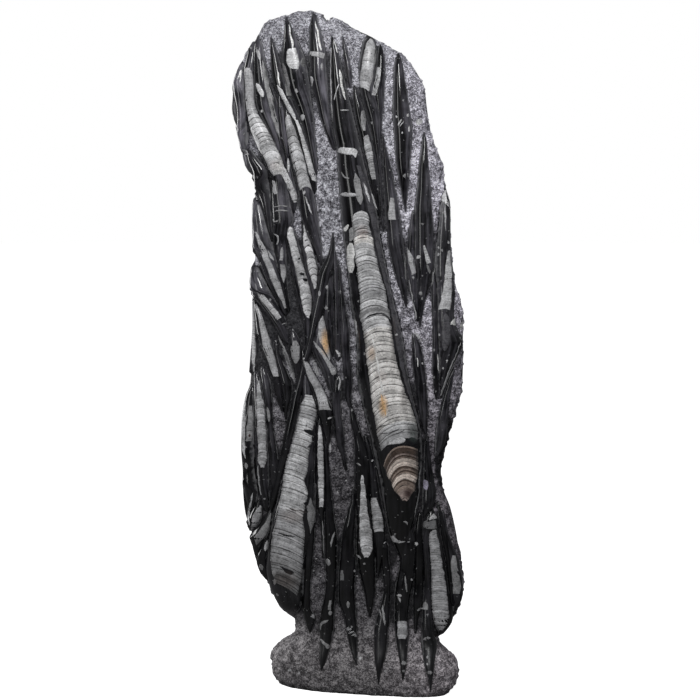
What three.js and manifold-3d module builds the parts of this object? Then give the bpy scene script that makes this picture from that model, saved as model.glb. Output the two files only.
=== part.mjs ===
// A tall free-standing block of black fossil limestone, carved so that long tapered ribs stand
// proud of the pecked ground between them, with its own flared foot. One solid stone.
// Millimetres. +Z is up, the carved front faces -Y, and the stone stands on z = 0.

import * as THREE from 'three';
import { mergeVertices } from 'three/addons/utils/BufferGeometryUtils.js';
import Module from 'manifold-3d';

// Driving dimensions
const PLAN_SHIFT = [1, 1.56];  // puts the middle of the plan box on the Z axis
const CORNER_POWER = 3.2;      // plan of the block: 2 is an ellipse, large is a box
const POINTS_ROUND = 22;       // corners in each plan outline
const RIB_RISE = 9;            // how far a rib of RIB_WIDTH stands off the ground
const RIB_WIDTH = 20;          // the width that RIB_RISE is for
const RIB_RISE_POWER = 0.72;   // wide ribs stand higher, but not in proportion
const RIB_RISE_MOST = 17;      // and none higher than this
const RIB_EDGE_BURY = 1.5;     // rib edges start this far under the ground
const RIB_CORE_BURY = 9;       // and the middle of a rib this far
const RIB_SHOULDER = 0.45;     // how far out a rib's shoulders are, as a share of its half width
const RIB_SHOULDER_RISE = 0.93; // and how high, as a share of its rise
const CUT_SPACING = 32;        // least height between two cuts that are used
const SAME_POINT = 1e-4;       // corners closer than this are one corner

// The plainer ribs of the back, in upright columns
const REAR_COLUMNS = [42, 66, 90, 114, 138]; // degrees round from the right side
const REAR_ROWS = [215, 425, 635];           // heights of the ribs' middles
const REAR_STAGGER = 95;                     // every other column is higher by this
const REAR_LENGTH = 250;
const REAR_WIDTH = 26;
const REAR_LEAN = 4;                         // degrees round, from one tip to the other
const REAR_CUTS = [[0, 0.08], [0.35, 1], [0.7, 0.8], [1, 0.06]]; // along, width

// The block without its ribs: height, left, right, front depth, back depth, and the turn of the
// section about the upright axis in degrees.
const BLOCK = [
  [0, -98, 136, 55, 52, 9],
  [12, -107, 144, 58, 56, 9],
  [34, -110, 146, 59, 55, 9],
  [50, -101, 133, 56, 46, 8],
  [61, -83, 121, 51, 40, 6],
  [70, -75, 118, 48, 39, 5],
  [84, -73, 130, 46, 40, 4],
  [98, -80, 139, 43, 42, 3],
  [115, -98, 147, 41, 43, 1],
  [135, -108, 152, 40, 42, 0],
  [160, -121, 149, 39, 42, 0],
  [200, -131, 143, 39, 42, 0],
  [240, -140, 134, 39, 42, 0],
  [270, -142, 123, 39, 42, 0],
  [290, -141, 121, 39, 42, 0],
  [325, -143, 127, 40, 42, 0],
  [370, -142, 140, 40, 42, 0],
  [410, -135, 149, 40, 43, 0],
  [455, -131, 150, 40, 44, 0],
  [500, -129, 149, 40, 44, 0],
  [550, -130, 137, 40, 44, 0],
  [600, -126, 132, 40, 44, 0],
  [650, -127, 131, 40, 44, 0],
  [672, -123, 125, 40, 44, 0],
  [700, -137, 121, 40, 43, 0],
  [740, -146, 106, 39, 42, 0],
  [775, -154, 100, 37, 41, 0],
  [800, -153, 97, 35, 39, 0],
  [822, -147, 86, 33, 36, 0],
  [842, -138, 71, 30, 33, 0],
  [858, -129, 43, 27, 30, 0],
  [871, -120, 21, 24, 26, 0],
  [880, -115, 0, 20, 22, 0],
  [889, -101, -13, 15, 17, 0],
  [896, -84, -36, 10, 11, 0],
  [900, -68, -52, 5, 6, 0],
];

// The ribs. Each is a list of level cuts through one rib, from its upper tip to its lower one:
// height, left edge, right edge.
const RIBS = [
  // the rounded left side, upper half
  [[808, -149, -146], [790, -151, -144], [760, -150, -142], [735, -146, -141], [718, -141, -138]],
  [[838, -137, -135], [822, -143, -133], [800, -145, -133], [770, -142, -132], [750, -141, -130],
    [722, -139, -128]],
  [[735, -144, -141], [715, -140, -131], [700, -135, -126], [670, -123, -117], [655, -117, -111]],
  [[722, -130, -127], [705, -127, -113], [690, -121, -101], [670, -117, -100], [650, -111, -99],
    [630, -107, -99], [605, -101, -97]],
  [[656, -120, -116], [640, -126, -110], [620, -125, -104], [600, -123, -98], [580, -116, -93],
    [560, -110, -88], [540, -102, -84], [525, -94, -80], [508, -86, -78]],
  [[574, -126, -123], [566, -129, -117], [555, -130, -111], [542, -127, -103], [525, -114, -95],
    [508, -102, -84], [495, -93, -80]],
  [[542, -126, -121], [530, -122, -113], [515, -112, -101], [500, -102, -88], [488, -95, -81],
    [472, -86, -77]],
  [[535, -126, -124], [510, -126, -120], [480, -127, -121], [450, -127, -121], [426, -128, -123]],
  // crown, left to right
  [[860, -123, -121], [840, -130, -118], [820, -134, -121], [790, -133, -121], [770, -131, -117],
    [750, -127, -104], [725, -118, -90], [700, -107, -82], [680, -101, -77], [655, -99, -75],
    [630, -98, -70], [600, -97, -80], [570, -91, -80], [540, -86, -78], [510, -79, -75]],
  [[868, -116, -114], [850, -121, -109], [830, -122, -105], [805, -121, -101], [780, -119, -98],
    [760, -111, -94], [740, -101, -90], [715, -92, -86], [700, -88, -84]],
  [[842, -112, -110], [820, -108, -104], [800, -104, -98], [780, -99, -91], [760, -96, -89],
    [740, -91, -86], [715, -87, -83], [695, -82, -79]],
  [[866, -100, -98], [850, -100, -92], [825, -99, -85], [805, -96, -80], [790, -89, -74],
    [757, -72, -60], [720, -60, -50], [700, -55, -44], [683, -50, -40], [668, -46, -40]],
  [[791, -90, -88], [775, -91, -84], [740, -88, -78], [720, -83, -76], [695, -78, -76]],
  [[772, -82, -77], [758, -83, -72], [740, -80, -65], [720, -77, -58], [700, -72, -52],
    [680, -68, -47], [660, -64, -43], [640, -62, -39], [615, -55, -36], [595, -46, -34],
    [572, -36, -33]],
  [[712, -79, -77], [695, -81, -73], [675, -79, -68], [655, -74, -65], [640, -72, -69]],
  [[892, -80, -78], [875, -82, -70], [855, -84, -61], [840, -86, -55], [820, -84, -51],
    [800, -79, -48], [780, -69, -46], [760, -61, -43], [740, -55, -42], [715, -49, -40],
    [690, -43, -39]],
  [[897, -45, -42], [880, -49, -36], [860, -50, -31], [840, -50, -27], [820, -50, -26],
    [800, -46, -25], [780, -40, -23], [760, -35, -21], [740, -28, -19], [722, -20, -17]],
  // the great rib, from the crown to below the big shell
  [[866, -21, -19], [850, -22, -13], [830, -22, -8], [800, -21, -1], [775, -20, 5], [750, -18, 11],
    [725, -16, 17], [700, -14, 23], [670, -11, 31], [640, -9, 39], [610, -6, 43], [580, -3, 49],
    [550, 0, 55], [520, 3, 62], [490, 8, 70], [460, 11, 75], [430, 13, 79], [400, 17, 86],
    [370, 23, 93], [340, 31, 98], [310, 37, 98], [280, 44, 96], [250, 48, 93], [220, 53, 86],
    [190, 66, 82], [160, 77, 80]],
  [[866, -7, -5], [850, -6, -1], [830, -3, 4], [815, -1, 6], [800, 3, 5]],
  [[802, 8, 10], [790, 7, 15], [775, 8, 21], [760, 10, 25], [740, 15, 31], [720, 19, 36],
    [700, 24, 40], [680, 28, 41], [650, 36, 42], [635, 40, 43]],
  [[871, 27, 29], [860, 20, 36], [845, 17, 38], [825, 14, 36], [800, 16, 34], [780, 20, 40],
    [760, 26, 43], [740, 31, 43], [715, 36, 43], [690, 40, 44], [640, 43, 46], [615, 46, 48]],
  [[856, 41, 43], [840, 38, 48], [820, 36, 49], [800, 33, 48], [780, 36, 47], [760, 40, 45],
    [740, 42, 44]],
  [[845, 64, 66], [830, 60, 71], [800, 59, 76], [770, 58, 81], [740, 60, 84], [710, 62, 82],
    [680, 67, 80], [655, 72, 77], [640, 75, 76]],
  // right side, downwards
  [[740, 46, 47], [720, 46, 51], [700, 46, 56], [675, 47, 61], [650, 48, 66], [625, 50, 70],
    [600, 52, 73], [575, 57, 76], [550, 64, 77], [530, 71, 78], [516, 76, 78]],
  [[640, 84, 87], [620, 80, 87], [600, 78, 87], [580, 77, 88], [560, 79, 90], [540, 81, 91],
    [520, 85, 92], [500, 89, 93]],
  [[741, 98, 100], [720, 95, 103], [700, 92, 105], [670, 90, 108], [640, 87, 110],
    [600, 87, 112], [570, 88, 112], [550, 90, 108], [530, 91, 103], [510, 92, 99], [488, 94, 95]],
  [[674, 125, 127], [660, 122, 131], [640, 119, 134], [620, 117, 133], [600, 115, 134],
    [580, 114, 135], [560, 113, 137], [540, 116, 138], [510, 117, 138], [490, 117, 141],
    [470, 118, 148], [450, 119, 143], [435, 120, 137], [420, 120, 131], [405, 121, 126],
    [395, 121, 123]],
  [[562, 111, 113], [540, 109, 116], [510, 110, 117], [480, 111, 118], [450, 111, 119],
    [430, 111, 120], [410, 113, 119], [394, 114, 117]],
  [[480, 84, 87], [462, 84, 97], [445, 84, 100], [425, 87, 103], [400, 89, 105], [380, 92, 106],
    [360, 96, 105], [346, 103, 105]],
  [[435, 137, 139], [415, 131, 137], [395, 124, 134], [375, 119, 132], [355, 116, 130],
    [335, 115, 126], [317, 116, 118]],
  // middle left, below the pecked band
  [[626, -78, -73], [610, -83, -67], [590, -79, -61], [570, -75, -57], [550, -72, -51],
    [530, -68, -47], [510, -63, -46], [490, -58, -46], [470, -56, -47], [455, -54, -50]],
  [[632, -60, -56], [610, -60, -52], [590, -60, -43], [570, -57, -39], [550, -52, -38],
    [530, -47, -38], [515, -45, -40]],
  [[612, -20, -18], [590, -24, -17], [575, -30, -17], [560, -38, -20], [540, -42, -24],
    [520, -46, -28], [500, -50, -33], [480, -53, -38], [460, -57, -45], [440, -62, -52],
    [420, -66, -56], [400, -72, -60], [380, -76, -64], [350, -83, -70], [320, -89, -77],
    [290, -97, -85], [265, -102, -91], [245, -104, -98]],
  [[565, -27, -24], [540, -30, -18], [510, -31, -18], [480, -27, -18], [455, -22, -18]],
  [[590, -18, -16], [560, -19, -12], [520, -18, -11], [480, -18, -9], [450, -17, -9]],
  [[570, -12, -10], [540, -11, -6], [510, -10, -2], [480, -9, 3], [450, -7, 3], [420, -5, 5],
    [400, -4, 4], [384, 0, 3]],
  [[512, -36, -33], [500, -40, -31], [485, -44, -26], [465, -48, -24], [450, -44, -21],
    [435, -36, -14], [420, -30, -14], [405, -24, -14]],
  [[455, -61, -57], [440, -62, -50], [425, -56, -42], [410, -51, -33], [395, -46, -26],
    [378, -40, -19], [362, -36, -20], [345, -31, -22], [330, -27, -24]],
  [[480, -76, -67], [465, -78, -60], [450, -76, -59], [435, -72, -60], [420, -68, -61],
    [405, -66, -63]],
  // left side, lower half
  [[520, -121, -119], [500, -119, -111], [485, -118, -106], [470, -115, -101], [455, -110, -97],
    [440, -105, -93], [425, -100, -89], [405, -96, -86], [378, -88, -84]],
  [[470, -96, -92], [450, -95, -88], [430, -91, -79], [410, -88, -72], [395, -85, -74],
    [375, -84, -79], [363, -82, -80]],
  [[432, -114, -108], [410, -112, -100], [390, -109, -99], [370, -107, -99], [350, -105, -97],
    [325, -104, -93], [300, -103, -91], [270, -100, -97]],
  [[425, -122, -118], [405, -122, -112], [385, -122, -109], [360, -122, -106], [330, -122, -105],
    [305, -121, -104], [285, -119, -104], [262, -115, -103], [240, -108, -105]],
  [[405, -127, -123], [385, -132, -123], [360, -136, -123], [338, -138, -124], [315, -139, -123],
    [290, -137, -121], [265, -133, -118], [245, -130, -123]],
  [[410, -132, -129], [390, -137, -130], [370, -140, -132], [350, -142, -133], [330, -141, -134],
    [312, -140, -137]],
  [[298, -138, -133], [275, -140, -131], [255, -138, -130], [235, -135, -129], [220, -132, -129]],
  [[256, -118, -115], [240, -126, -113], [225, -130, -116], [212, -129, -123]],
  [[246, -103, -99], [235, -109, -99], [220, -118, -102], [205, -128, -106], [190, -127, -113],
    [162, -119, -115]],
  [[210, -110, -106], [195, -113, -105], [175, -118, -106], [155, -113, -105], [147, -108, -104]],
  [[425, -58, -52], [405, -60, -47], [385, -63, -40], [360, -68, -40], [335, -75, -40],
    [310, -82, -40], [285, -88, -40], [260, -93, -41], [235, -99, -42], [210, -103, -46],
    [185, -107, -52], [165, -108, -56], [145, -103, -57], [125, -95, -58], [110, -87, -62],
    [100, -78, -68]],
  // middle, lower half
  [[372, -38, -34], [355, -42, -31], [330, -43, -30], [300, -42, -29], [275, -42, -28],
    [255, -41, -28], [240, -38, -31], [215, -35, -31], [182, -34, -31]],
  [[345, -29, -27], [320, -31, -25], [290, -30, -23], [260, -30, -20], [235, -31, -17],
    [205, -31, -13], [175, -30, -13], [150, -29, -14], [130, -31, -16], [110, -35, -17],
    [90, -37, -17], [70, -37, -20], [50, -37, -25], [28, -36, -33]],
  [[240, -50, -45], [215, -56, -43], [195, -58, -44], [165, -58, -47], [140, -59, -49],
    [115, -60, -49], [95, -57, -42], [85, -54, -45], [76, -51, -49]],
  [[420, -18, -9], [400, -20, -8], [380, -20, -9], [360, -18, -7], [345, -17, -5], [325, -12, -2],
    [300, -2, 0]],
  [[275, 6, 9], [255, 4, 11], [235, -4, 11], [210, -8, 11], [180, -11, 11], [150, -13, 10],
    [125, -13, 11], [105, -6, 12], [85, -2, 13], [65, 2, 13], [50, 6, 12], [38, 10, 11]],
  [[388, 4, 6], [365, 5, 13], [345, 8, 20], [325, 9, 28], [300, 9, 32], [270, 9, 30],
    [240, 11, 33], [210, 12, 36], [180, 12, 38], [155, 17, 38], [135, 21, 37], [115, 26, 34],
    [102, 30, 32]],
  [[345, 22, 26], [325, 24, 33], [300, 27, 38], [275, 28, 42], [250, 30, 47], [225, 32, 51],
    [200, 35, 50], [180, 37, 47], [165, 38, 43], [150, 37, 39]],
  [[200, 43, 54], [180, 44, 55], [160, 46, 58], [140, 48, 58], [120, 44, 57], [100, 38, 57],
    [80, 35, 54], [60, 35, 53], [40, 37, 48], [25, 39, 44], [13, 41, 42]],
  [[230, 70, 84], [200, 69, 92], [170, 68, 90], [150, 64, 88], [130, 62, 84], [95, 62, 81],
    [75, 64, 81], [60, 66, 80], [45, 69, 79], [32, 71, 77], [20, 73, 74]],
  [[240, 92, 98], [210, 88, 99], [180, 88, 101], [150, 88, 101], [125, 86, 100], [105, 87, 95],
    [82, 89, 91]],
  [[345, 103, 106], [325, 101, 108], [300, 100, 111], [280, 99, 114], [265, 98, 116],
    [250, 98, 113], [238, 99, 104]],
  [[236, 100, 117], [222, 99, 112], [200, 99, 108], [170, 100, 110], [140, 101, 111],
    [115, 99, 112], [90, 98, 114], [70, 98, 115], [50, 100, 116], [35, 103, 115], [20, 108, 113],
    [5, 110, 111]],
  [[236, 104, 118], [222, 104, 120], [200, 105, 125], [180, 108, 129], [160, 110, 132],
    [130, 110, 136], [110, 111, 138], [95, 114, 137], [85, 118, 132], [72, 119, 124]],
  [[255, 118, 120], [235, 120, 125], [205, 124, 131], [180, 129, 135], [160, 131, 137],
    [135, 134, 139], [103, 137, 138]],
  [[242, 124, 127], [220, 127, 131], [200, 130, 137], [185, 132, 142],
    [170, 134, 147], [150, 136, 151], [130, 137, 152], [115, 138, 147], [103, 138, 142]],
];

// The value of column `column` of a table ordered by its first column, at height z.
function between(table, z, column) {
  const rising = table[0][0] < table[table.length - 1][0];
  const rows = rising ? table : [...table].reverse();
  if (z <= rows[0][0]) return rows[0][column];
  for (let i = 1; i < rows.length; i += 1) {
    if (z > rows[i][0]) continue;
    const [low, high] = [rows[i - 1], rows[i]];
    const t = (z - low[0]) / (high[0] - low[0]);
    return low[column] + t * (high[column] - low[column]);
  }
  return rows[rows.length - 1][column];
}

// A solid from level rings of equal length, each an array of [x, y, z] going round the same way.
function loft(rings) {
  const corners = rings[0].length;
  const positions = rings.flat(2);
  const faces = [];
  const at = (ring, corner) => ring * corners + (corner % corners);
  for (let ring = 0; ring + 1 < rings.length; ring += 1) {
    for (let corner = 0; corner < corners; corner += 1) {
      const [a, b] = [at(ring, corner), at(ring, corner + 1)];
      const [c, d] = [at(ring + 1, corner + 1), at(ring + 1, corner)];
      faces.push(a, b, c, a, c, d);
    }
  }
  for (let corner = 1; corner + 1 < corners; corner += 1) {
    const last = rings.length - 1;
    faces.push(at(0, 0), at(0, corner + 1), at(0, corner));
    faces.push(at(last, 0), at(last, corner), at(last, corner + 1));
  }
  const geometry = new THREE.BufferGeometry();
  geometry.setAttribute('position', new THREE.Float32BufferAttribute(positions, 3));
  geometry.setIndex(faces);
  return mergeVertices(geometry, SAME_POINT);
}

// A point of the block's plan outline at one height. The angle is in radians, from +X towards +Y.
function outlinePoint([z, left, right, front, back, turn], angle) {
  const [middle, half] = [(left + right) / 2, (right - left) / 2];
  const twist = THREE.MathUtils.degToRad(turn);
  const [cos, sin] = [Math.cos(angle), Math.sin(angle)];
  const across = half * Math.sign(cos) * Math.abs(cos) ** (2 / CORNER_POWER);
  const depth = (sin < 0 ? front : back) * Math.sign(sin) * Math.abs(sin) ** (2 / CORNER_POWER);
  return [middle + across, depth - across * Math.tan(twist), z];
}

// The block's plan outline at one height, anticlockwise from above.
function blockRing(section) {
  const ring = [];
  for (let i = 0; i < POINTS_ROUND; i += 1) {
    ring.push(outlinePoint(section, (2 * Math.PI * i) / POINTS_ROUND));
  }
  return ring;
}

// The y of the block's front surface behind the point (x, z). Past the sides it is the middle depth.
function groundFront(x, z) {
  const [left, right] = [between(BLOCK, z, 1), between(BLOCK, z, 2)];
  const [middle, half] = [(left + right) / 2, (right - left) / 2];
  const across = Math.min(Math.abs(x - middle) / half, 1);
  const depth = between(BLOCK, z, 3) * (1 - across ** CORNER_POWER) ** (1 / CORNER_POWER);
  const twist = THREE.MathUtils.degToRad(between(BLOCK, z, 5));
  return -depth - (x - middle) * Math.tan(twist);
}

// The cuts of a rib that are used: both tips, and others at least CUT_SPACING apart.
function spaced(cuts) {
  const tip = cuts[cuts.length - 1];
  const kept = [cuts[0]];
  for (const cut of cuts.slice(1, -1)) {
    const gapAbove = kept[kept.length - 1][0] - cut[0];
    const gapBelow = cut[0] - tip[0];
    if (gapAbove >= CUT_SPACING && gapBelow >= CUT_SPACING / 2) kept.push(cut);
  }
  return [...kept, tip];
}

// One rib: at each cut a five-cornered section, its edges and core buried in the block.
function ribRing([z, left, right]) {
  const width = right - left;
  const middle = (left + right) / 2;
  const rise = Math.min(RIB_RISE * (width / RIB_WIDTH) ** RIB_RISE_POWER, RIB_RISE_MOST);
  const point = (across, share) => {
    const x = middle + across * width / 2;
    return [x, groundFront(x, z) - share * rise, z];
  };
  const bury = (corner, depth) => [corner[0], corner[1] + depth, z];
  return [
    bury(point(-1, 0), RIB_EDGE_BURY),
    point(-RIB_SHOULDER, RIB_SHOULDER_RISE),
    point(RIB_SHOULDER, RIB_SHOULDER_RISE),
    bury(point(1, 0), RIB_EDGE_BURY),
    bury(point(0, 0), RIB_CORE_BURY),
  ];
}

// One cut of a rib on the sides or back: the same section, laid on the outline at `degrees` round.
function rearRing(degrees, z, width) {
  const section = BLOCK[0].map((_, column) => (column === 0 ? z : between(BLOCK, z, column)));
  const angle = THREE.MathUtils.degToRad(degrees);
  const step = 0.02;
  const [x, y] = outlinePoint(section, angle);
  const [aheadX, aheadY] = outlinePoint(section, angle + step);
  const [behindX, behindY] = outlinePoint(section, angle - step);
  const along = new THREE.Vector2(aheadX - behindX, aheadY - behindY).normalize();
  const rise = RIB_RISE * (width / RIB_WIDTH) ** RIB_RISE_POWER;
  const point = (across, height) => [
    x + along.x * across * width / 2 + along.y * height,
    y + along.y * across * width / 2 - along.x * height,
    z,
  ];
  return [
    point(-1, -RIB_EDGE_BURY),
    point(-RIB_SHOULDER, rise * RIB_SHOULDER_RISE),
    point(RIB_SHOULDER, rise * RIB_SHOULDER_RISE),
    point(1, -RIB_EDGE_BURY),
    point(0, -RIB_CORE_BURY),
  ];
}

function rearRibs() {
  const ribs = [];
  REAR_COLUMNS.forEach((degrees, column) => {
    const lift = column % 2 ? REAR_STAGGER : 0;
    const lean = column % 2 ? REAR_LEAN : -REAR_LEAN;
    for (const row of REAR_ROWS) {
      ribs.push(REAR_CUTS.map(([along, width]) => {
        const z = row + lift + REAR_LENGTH * (along - 0.5);
        return rearRing(degrees + lean * (along - 0.5), z, REAR_WIDTH * width);
      }));
    }
  });
  return ribs;
}

const wasm = await Module();
wasm.setup();

function toSolid(geometry) {
  const vertProperties = new Float32Array(geometry.attributes.position.array);
  const triVerts = new Uint32Array(geometry.index.array);
  return new wasm.Manifold(new wasm.Mesh({ numProp: 3, vertProperties, triVerts }));
}

function toGeometry(solid) {
  const mesh = solid.getMesh();
  const geometry = new THREE.BufferGeometry();
  geometry.setAttribute('position', new THREE.BufferAttribute(mesh.vertProperties, 3));
  geometry.setIndex(new THREE.BufferAttribute(mesh.triVerts, 1));
  return geometry;
}

function buildStone() {
  let stone = toSolid(loft(BLOCK.map(blockRing)));
  for (const cuts of RIBS) {
    const rising = spaced(cuts).reverse();
    stone = stone.add(toSolid(loft(rising.map(ribRing))));
  }
  for (const rings of rearRibs()) {
    stone = stone.add(toSolid(loft(rings)));
  }
  return toGeometry(stone).translate(PLAN_SHIFT[0], PLAN_SHIFT[1], 0);
}

const blackLimestone = new THREE.MeshStandardMaterial({
  color: 0x2e2d30,
  roughness: 0.35,
  metalness: 0,
});

const fossilPlate = new THREE.Mesh(buildStone(), blackLimestone);
fossilPlate.name = 'fossil_plate';

const object = new THREE.Group();
object.add(fossilPlate);

export default object;
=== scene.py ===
"""The looks of a carved block of black fossil limestone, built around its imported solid.

The stone is one closed mesh: a pecked block joined with smooth polished ribs. The fossils that show in
it are thin closed inlays laid on its surface. The tables below are drawn in millimetres, as the carved
front is seen, x to the right and z up from the underside; what is built from them is in metres.
"""

import math
import random

import bpy
import numpy as np
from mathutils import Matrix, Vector, noise
from mathutils.bvhtree import BVHTree


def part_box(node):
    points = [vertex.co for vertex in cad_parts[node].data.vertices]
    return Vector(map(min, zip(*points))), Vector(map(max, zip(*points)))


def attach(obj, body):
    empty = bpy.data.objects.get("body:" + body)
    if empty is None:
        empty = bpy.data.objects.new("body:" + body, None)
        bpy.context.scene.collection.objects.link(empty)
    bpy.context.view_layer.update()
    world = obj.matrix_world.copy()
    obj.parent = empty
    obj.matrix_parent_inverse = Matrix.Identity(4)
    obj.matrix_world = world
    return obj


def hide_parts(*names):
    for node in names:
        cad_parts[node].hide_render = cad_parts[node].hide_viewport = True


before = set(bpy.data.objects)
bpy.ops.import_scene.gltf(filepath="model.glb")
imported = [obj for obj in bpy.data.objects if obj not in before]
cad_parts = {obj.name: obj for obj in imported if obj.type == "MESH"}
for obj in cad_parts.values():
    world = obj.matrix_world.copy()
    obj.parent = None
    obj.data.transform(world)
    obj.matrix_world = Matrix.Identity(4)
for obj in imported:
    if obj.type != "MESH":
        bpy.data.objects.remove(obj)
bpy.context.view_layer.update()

MM = 0.001

# ---- Driving values, in the drawing's millimetres where nothing else is said
DRAWN_MIDDLE = (-1.0, -1.56)    # middle of the drawing's plan, which belongs on the solid's Z axis
DRAWN_DEPTH = -45.0             # depth of the upright plane that the tables are drawn on

CORNER_POWER = 3.2              # plan of the block: 2 is an ellipse, large is a box
OUTLINE_POINTS = 480            # points round a plan outline
CELL = 2.1                      # mesh cell of the pecked front
CELLS_FRONT = 142               # cells across the front, corner to corner
CELLS_BACK = 76                 # and across the back, where a cell is twice as tall
LEFT_INSET = 4.0                # the ground's left side lies inside the outline that the ribs give
INSET_HEIGHTS = (140, 190, 800, 850)    # between which heights that starts, and ends
OUTLINE_GIVE = 0.15             # share of a rib's overhang past the outline that is kept

# What the tools left on the ground, in layers: how high, how large, seed
TOOL_MARKS = ((1.0, 2.6, 0.0), (1.0, 6.0, 7.0))
LUMPS = ((1.5, 14.0, 3.0), (1.6, 42.0, 11.0))
BREAKS = ((1.9, 5.0, 4.0), (2.2, 11.0, 6.0))
EDGE_BREAKS = 1.35              # how strong the breaks are where the ground faces the side or up

GAP_NARROW, GAP_WIDE = 4.0, 9.0     # gaps between ribs that the tool could not reach, and could; the narrow ones are painted dark, partly as painted shade between the ribs
# Other places it did not reach, middle and half sizes, and how softly they end
UNREACHED = [(-90, 520, 32, 90), (-45, 500, 18, 60), (40, 200, 30, 45), (-118, 455, 22, 60),
             (128, 320, 14, 60)]
UNREACHED_START, UNREACHED_FADE = 0.85, 0.3

RIB_RISE = 9.0                  # how far a rib of RIB_WIDTH stands off the ground
RIB_WIDTH = 20.0
RIB_RISE_POWER = 0.72           # wide ribs stand higher, but not in proportion
RIB_RISE_MOST = 17.0
RIB_ROUND = (2.2, 0.62)         # powers of a rib's rounded section
RIB_SWELL, SWELL_SIZE = 0.25, 24.0      # how far its top rises and falls, and how far apart
RIB_NARROW = 12.0               # ribs narrower than this swell less and reach less deep
RIB_SEAM = 0.1                  # how far its edges lie in the ground
RIB_STAND = 6.0                 # how far the foot's ribs stand off it
RIB_STEP = 8.0                  # height between two rows of a rib's mesh
RIB_POINTS = 13                 # points across a rib's rounded top
RIB_TIP = 0.8                   # a tip runs on for this many of its last widths
TIP_WIDTH_LEAST, TIP_HALF = 2.0, 0.2
ROWS_APART = 0.5                # rows of a rib of the back closer than this are left out
RIB_LOWEST = 0.5                # ribs keep this far from the underside
TOP_CLEAR, REAR_TOP_CLEAR = 1, 6        # and this far from the top, on the front and on the back

# The back's ribs: broad ones in upright columns, by degrees round from the right side, and slim ones
REAR_COLUMNS = (42, 66, 90, 114, 138)
REAR_ROWS = (215, 425, 635)
REAR_STAGGER = 95
REAR_LENGTH, REAR_WIDTH, REAR_LEAN = 250, 26, 4
REAR_PROFILE = ((0, 0.12, 0.35, 0.7, 0.9, 1), (0.04, 0.55, 1, 0.85, 0.4, 0.03))     # along, wide
REAR_WANDER, WANDER_SIZE = 1.5, 60.0
SLIM_COLUMNS = (12, 27, 54, 78, 102, 126, 153, 168)
SLIM_START, SLIM_TOP = (95, 170), 800
SLIM_LENGTH, SLIM_WIDTH, SLIM_LEAN = (150, 270), (11, 19), 9
SLIM_SPACING = 0.86
NOTCH_MIDDLE, NOTCH_SIZE = (-28.5, 0, 897.5), (6.0, 34, 11.5)
NOTCH_ROWS, NOTCH_ROUND = 14, 20        # mesh of the ball that cuts it
NOTCH_ROUGH, NOTCH_SPREAD, NOTCH_LUMP = 0.35, 20, 9.0

REAR_FACING = (50, 130)         # degrees round between which a shell can be seen straight from behind
REAR_BARE = 0.25                # share of the ribs there that show no shell
REAR_SHELL_HALF = (0.2, 0.36)   # half the width of the others' shells, as a share of the rib's width
REAR_SHELL_LOW, REAR_SHELL_HIGH = (-0.3, 0.05), (0.1, 0.32)     # ends, from the rib's middle, as shares
REAR_SHELL_TONES, REAR_SHELL_PITCHES = ("grey", "mid", "pale"), (0, 3.5, 5, 8)
RAY_START = 0.3                 # metres off the stone
INLAY_PROUD = 0.2               # fossils stand off the stone by this, a bevel's height
STREAKS_OVER, SPOTS_OVER, GAPS_OVER = 0.15, 0.2, 0.35       # and these, which lie over shells, by more
INLAY_EDGE = 0.02               # their edges stand off it by this
INLAY_BEVEL = 0.6
INLAY_SINK = 1.6                # and reach this deep into it
WANDERS = ((3.2, 0.33), (8.0, 0.55))    # an inlay's ragged edge: how far apart and how far it wanders
ROW_STEP, CHIP_STEP, STREAK_STEP, SPOT_STEP = 4.0, 2.5, 3.0, 2.0    # between the rows of their meshes
SHELL_CELL, PLAIN_CELL = 2.2, 3.0       # across a shell with chamber walls, and without
COLUMNS_FEWEST, COLUMNS_MOST = 3, 26
ROW_LEAST = 0.25                # rows narrower than this are left out
ROW_TRIES = 21                  # places across a row where the stone under it is felt
HOME_SHARE = 0.12               # a shell lies on each rib that is under more than this share of it
SEPTUM_HALF = 0.70              # half the width of a groove between two chambers
SEPTUM_DEPTH = 0.17
SEPTUM_WIDTHS = (0.6, 1.4)      # a groove's width from the faintest wall to a strong one, as a share
SEPTUM_CLEAR = 3.0              # walls keep this many SEPTUM_HALFs apart
PITCHES = (0.8, 1.2)            # distance between walls, from nearest to furthest, as a share of the pitch
STRONG_CLEAR = 0.6              # and how far the other walls keep from strong ones
WALL_CLEAR_TOP, WALL_CLEAR_BOTTOM = 1.5, 1.0        # walls keep this far from a shell's ends
END_ROW = 0.7                   # and its mesh has a row this far from them
ROW_GAP = 0.1                   # least distance between two rows
CHAMBER_LONG = 1.2              # chambers longer than this have a row in the middle
CHAMBER_PAINTED_LIGHT, CHAMBER_PAINTED_SHADE = 1.05, 0.9     # how bright that row is, as painted light, and the chamber's last row before a wall, darker as painted shade
SCALLOP = 0.05                  # a shell is narrower by this share at a strong wall
SHADES = (0.72, 1.22)           # the chambers' brightness, from darkest to lightest

CAMERA_TURN, CAMERA_LIFT = 4.0, 6.0     # degrees to the right of straight in front, and up
CAMERA_DISTANCE = 2.6                   # metres
CAMERA_LENS = 100.3
CAMERA_AIM = 454.8                      # height looked at
BACKDROP_SEEN = 1.0
BACKDROP_LIGHT = 0.13
FLOOR_SEEN = 0.97                       # added to the floor where the eye sees it, up to the backdrop
FLOOR_LIGHT = 0.22                      # the floor's own grey where it lights the stone and shows in it
FLOOR_RADIUS, FLOOR_SIDES = 12.0, 96    # metres

# Panels of light, in metres: name, turn, lift, distance, height aimed at, width, height, watts
PANELS = [
    ("key_panel", 8.0, 34.0, 1.25, 0.92, 0.20, 0.8, 11.0),
    ("fill_panel", -36.0, 5.0, 2.2, 0.95, 0.42, 1.8, 7.5),
    ("rim_panel", -112.0, 12.0, 1.6, 0.50, 0.5, 1.4, 14.0),
]

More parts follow.
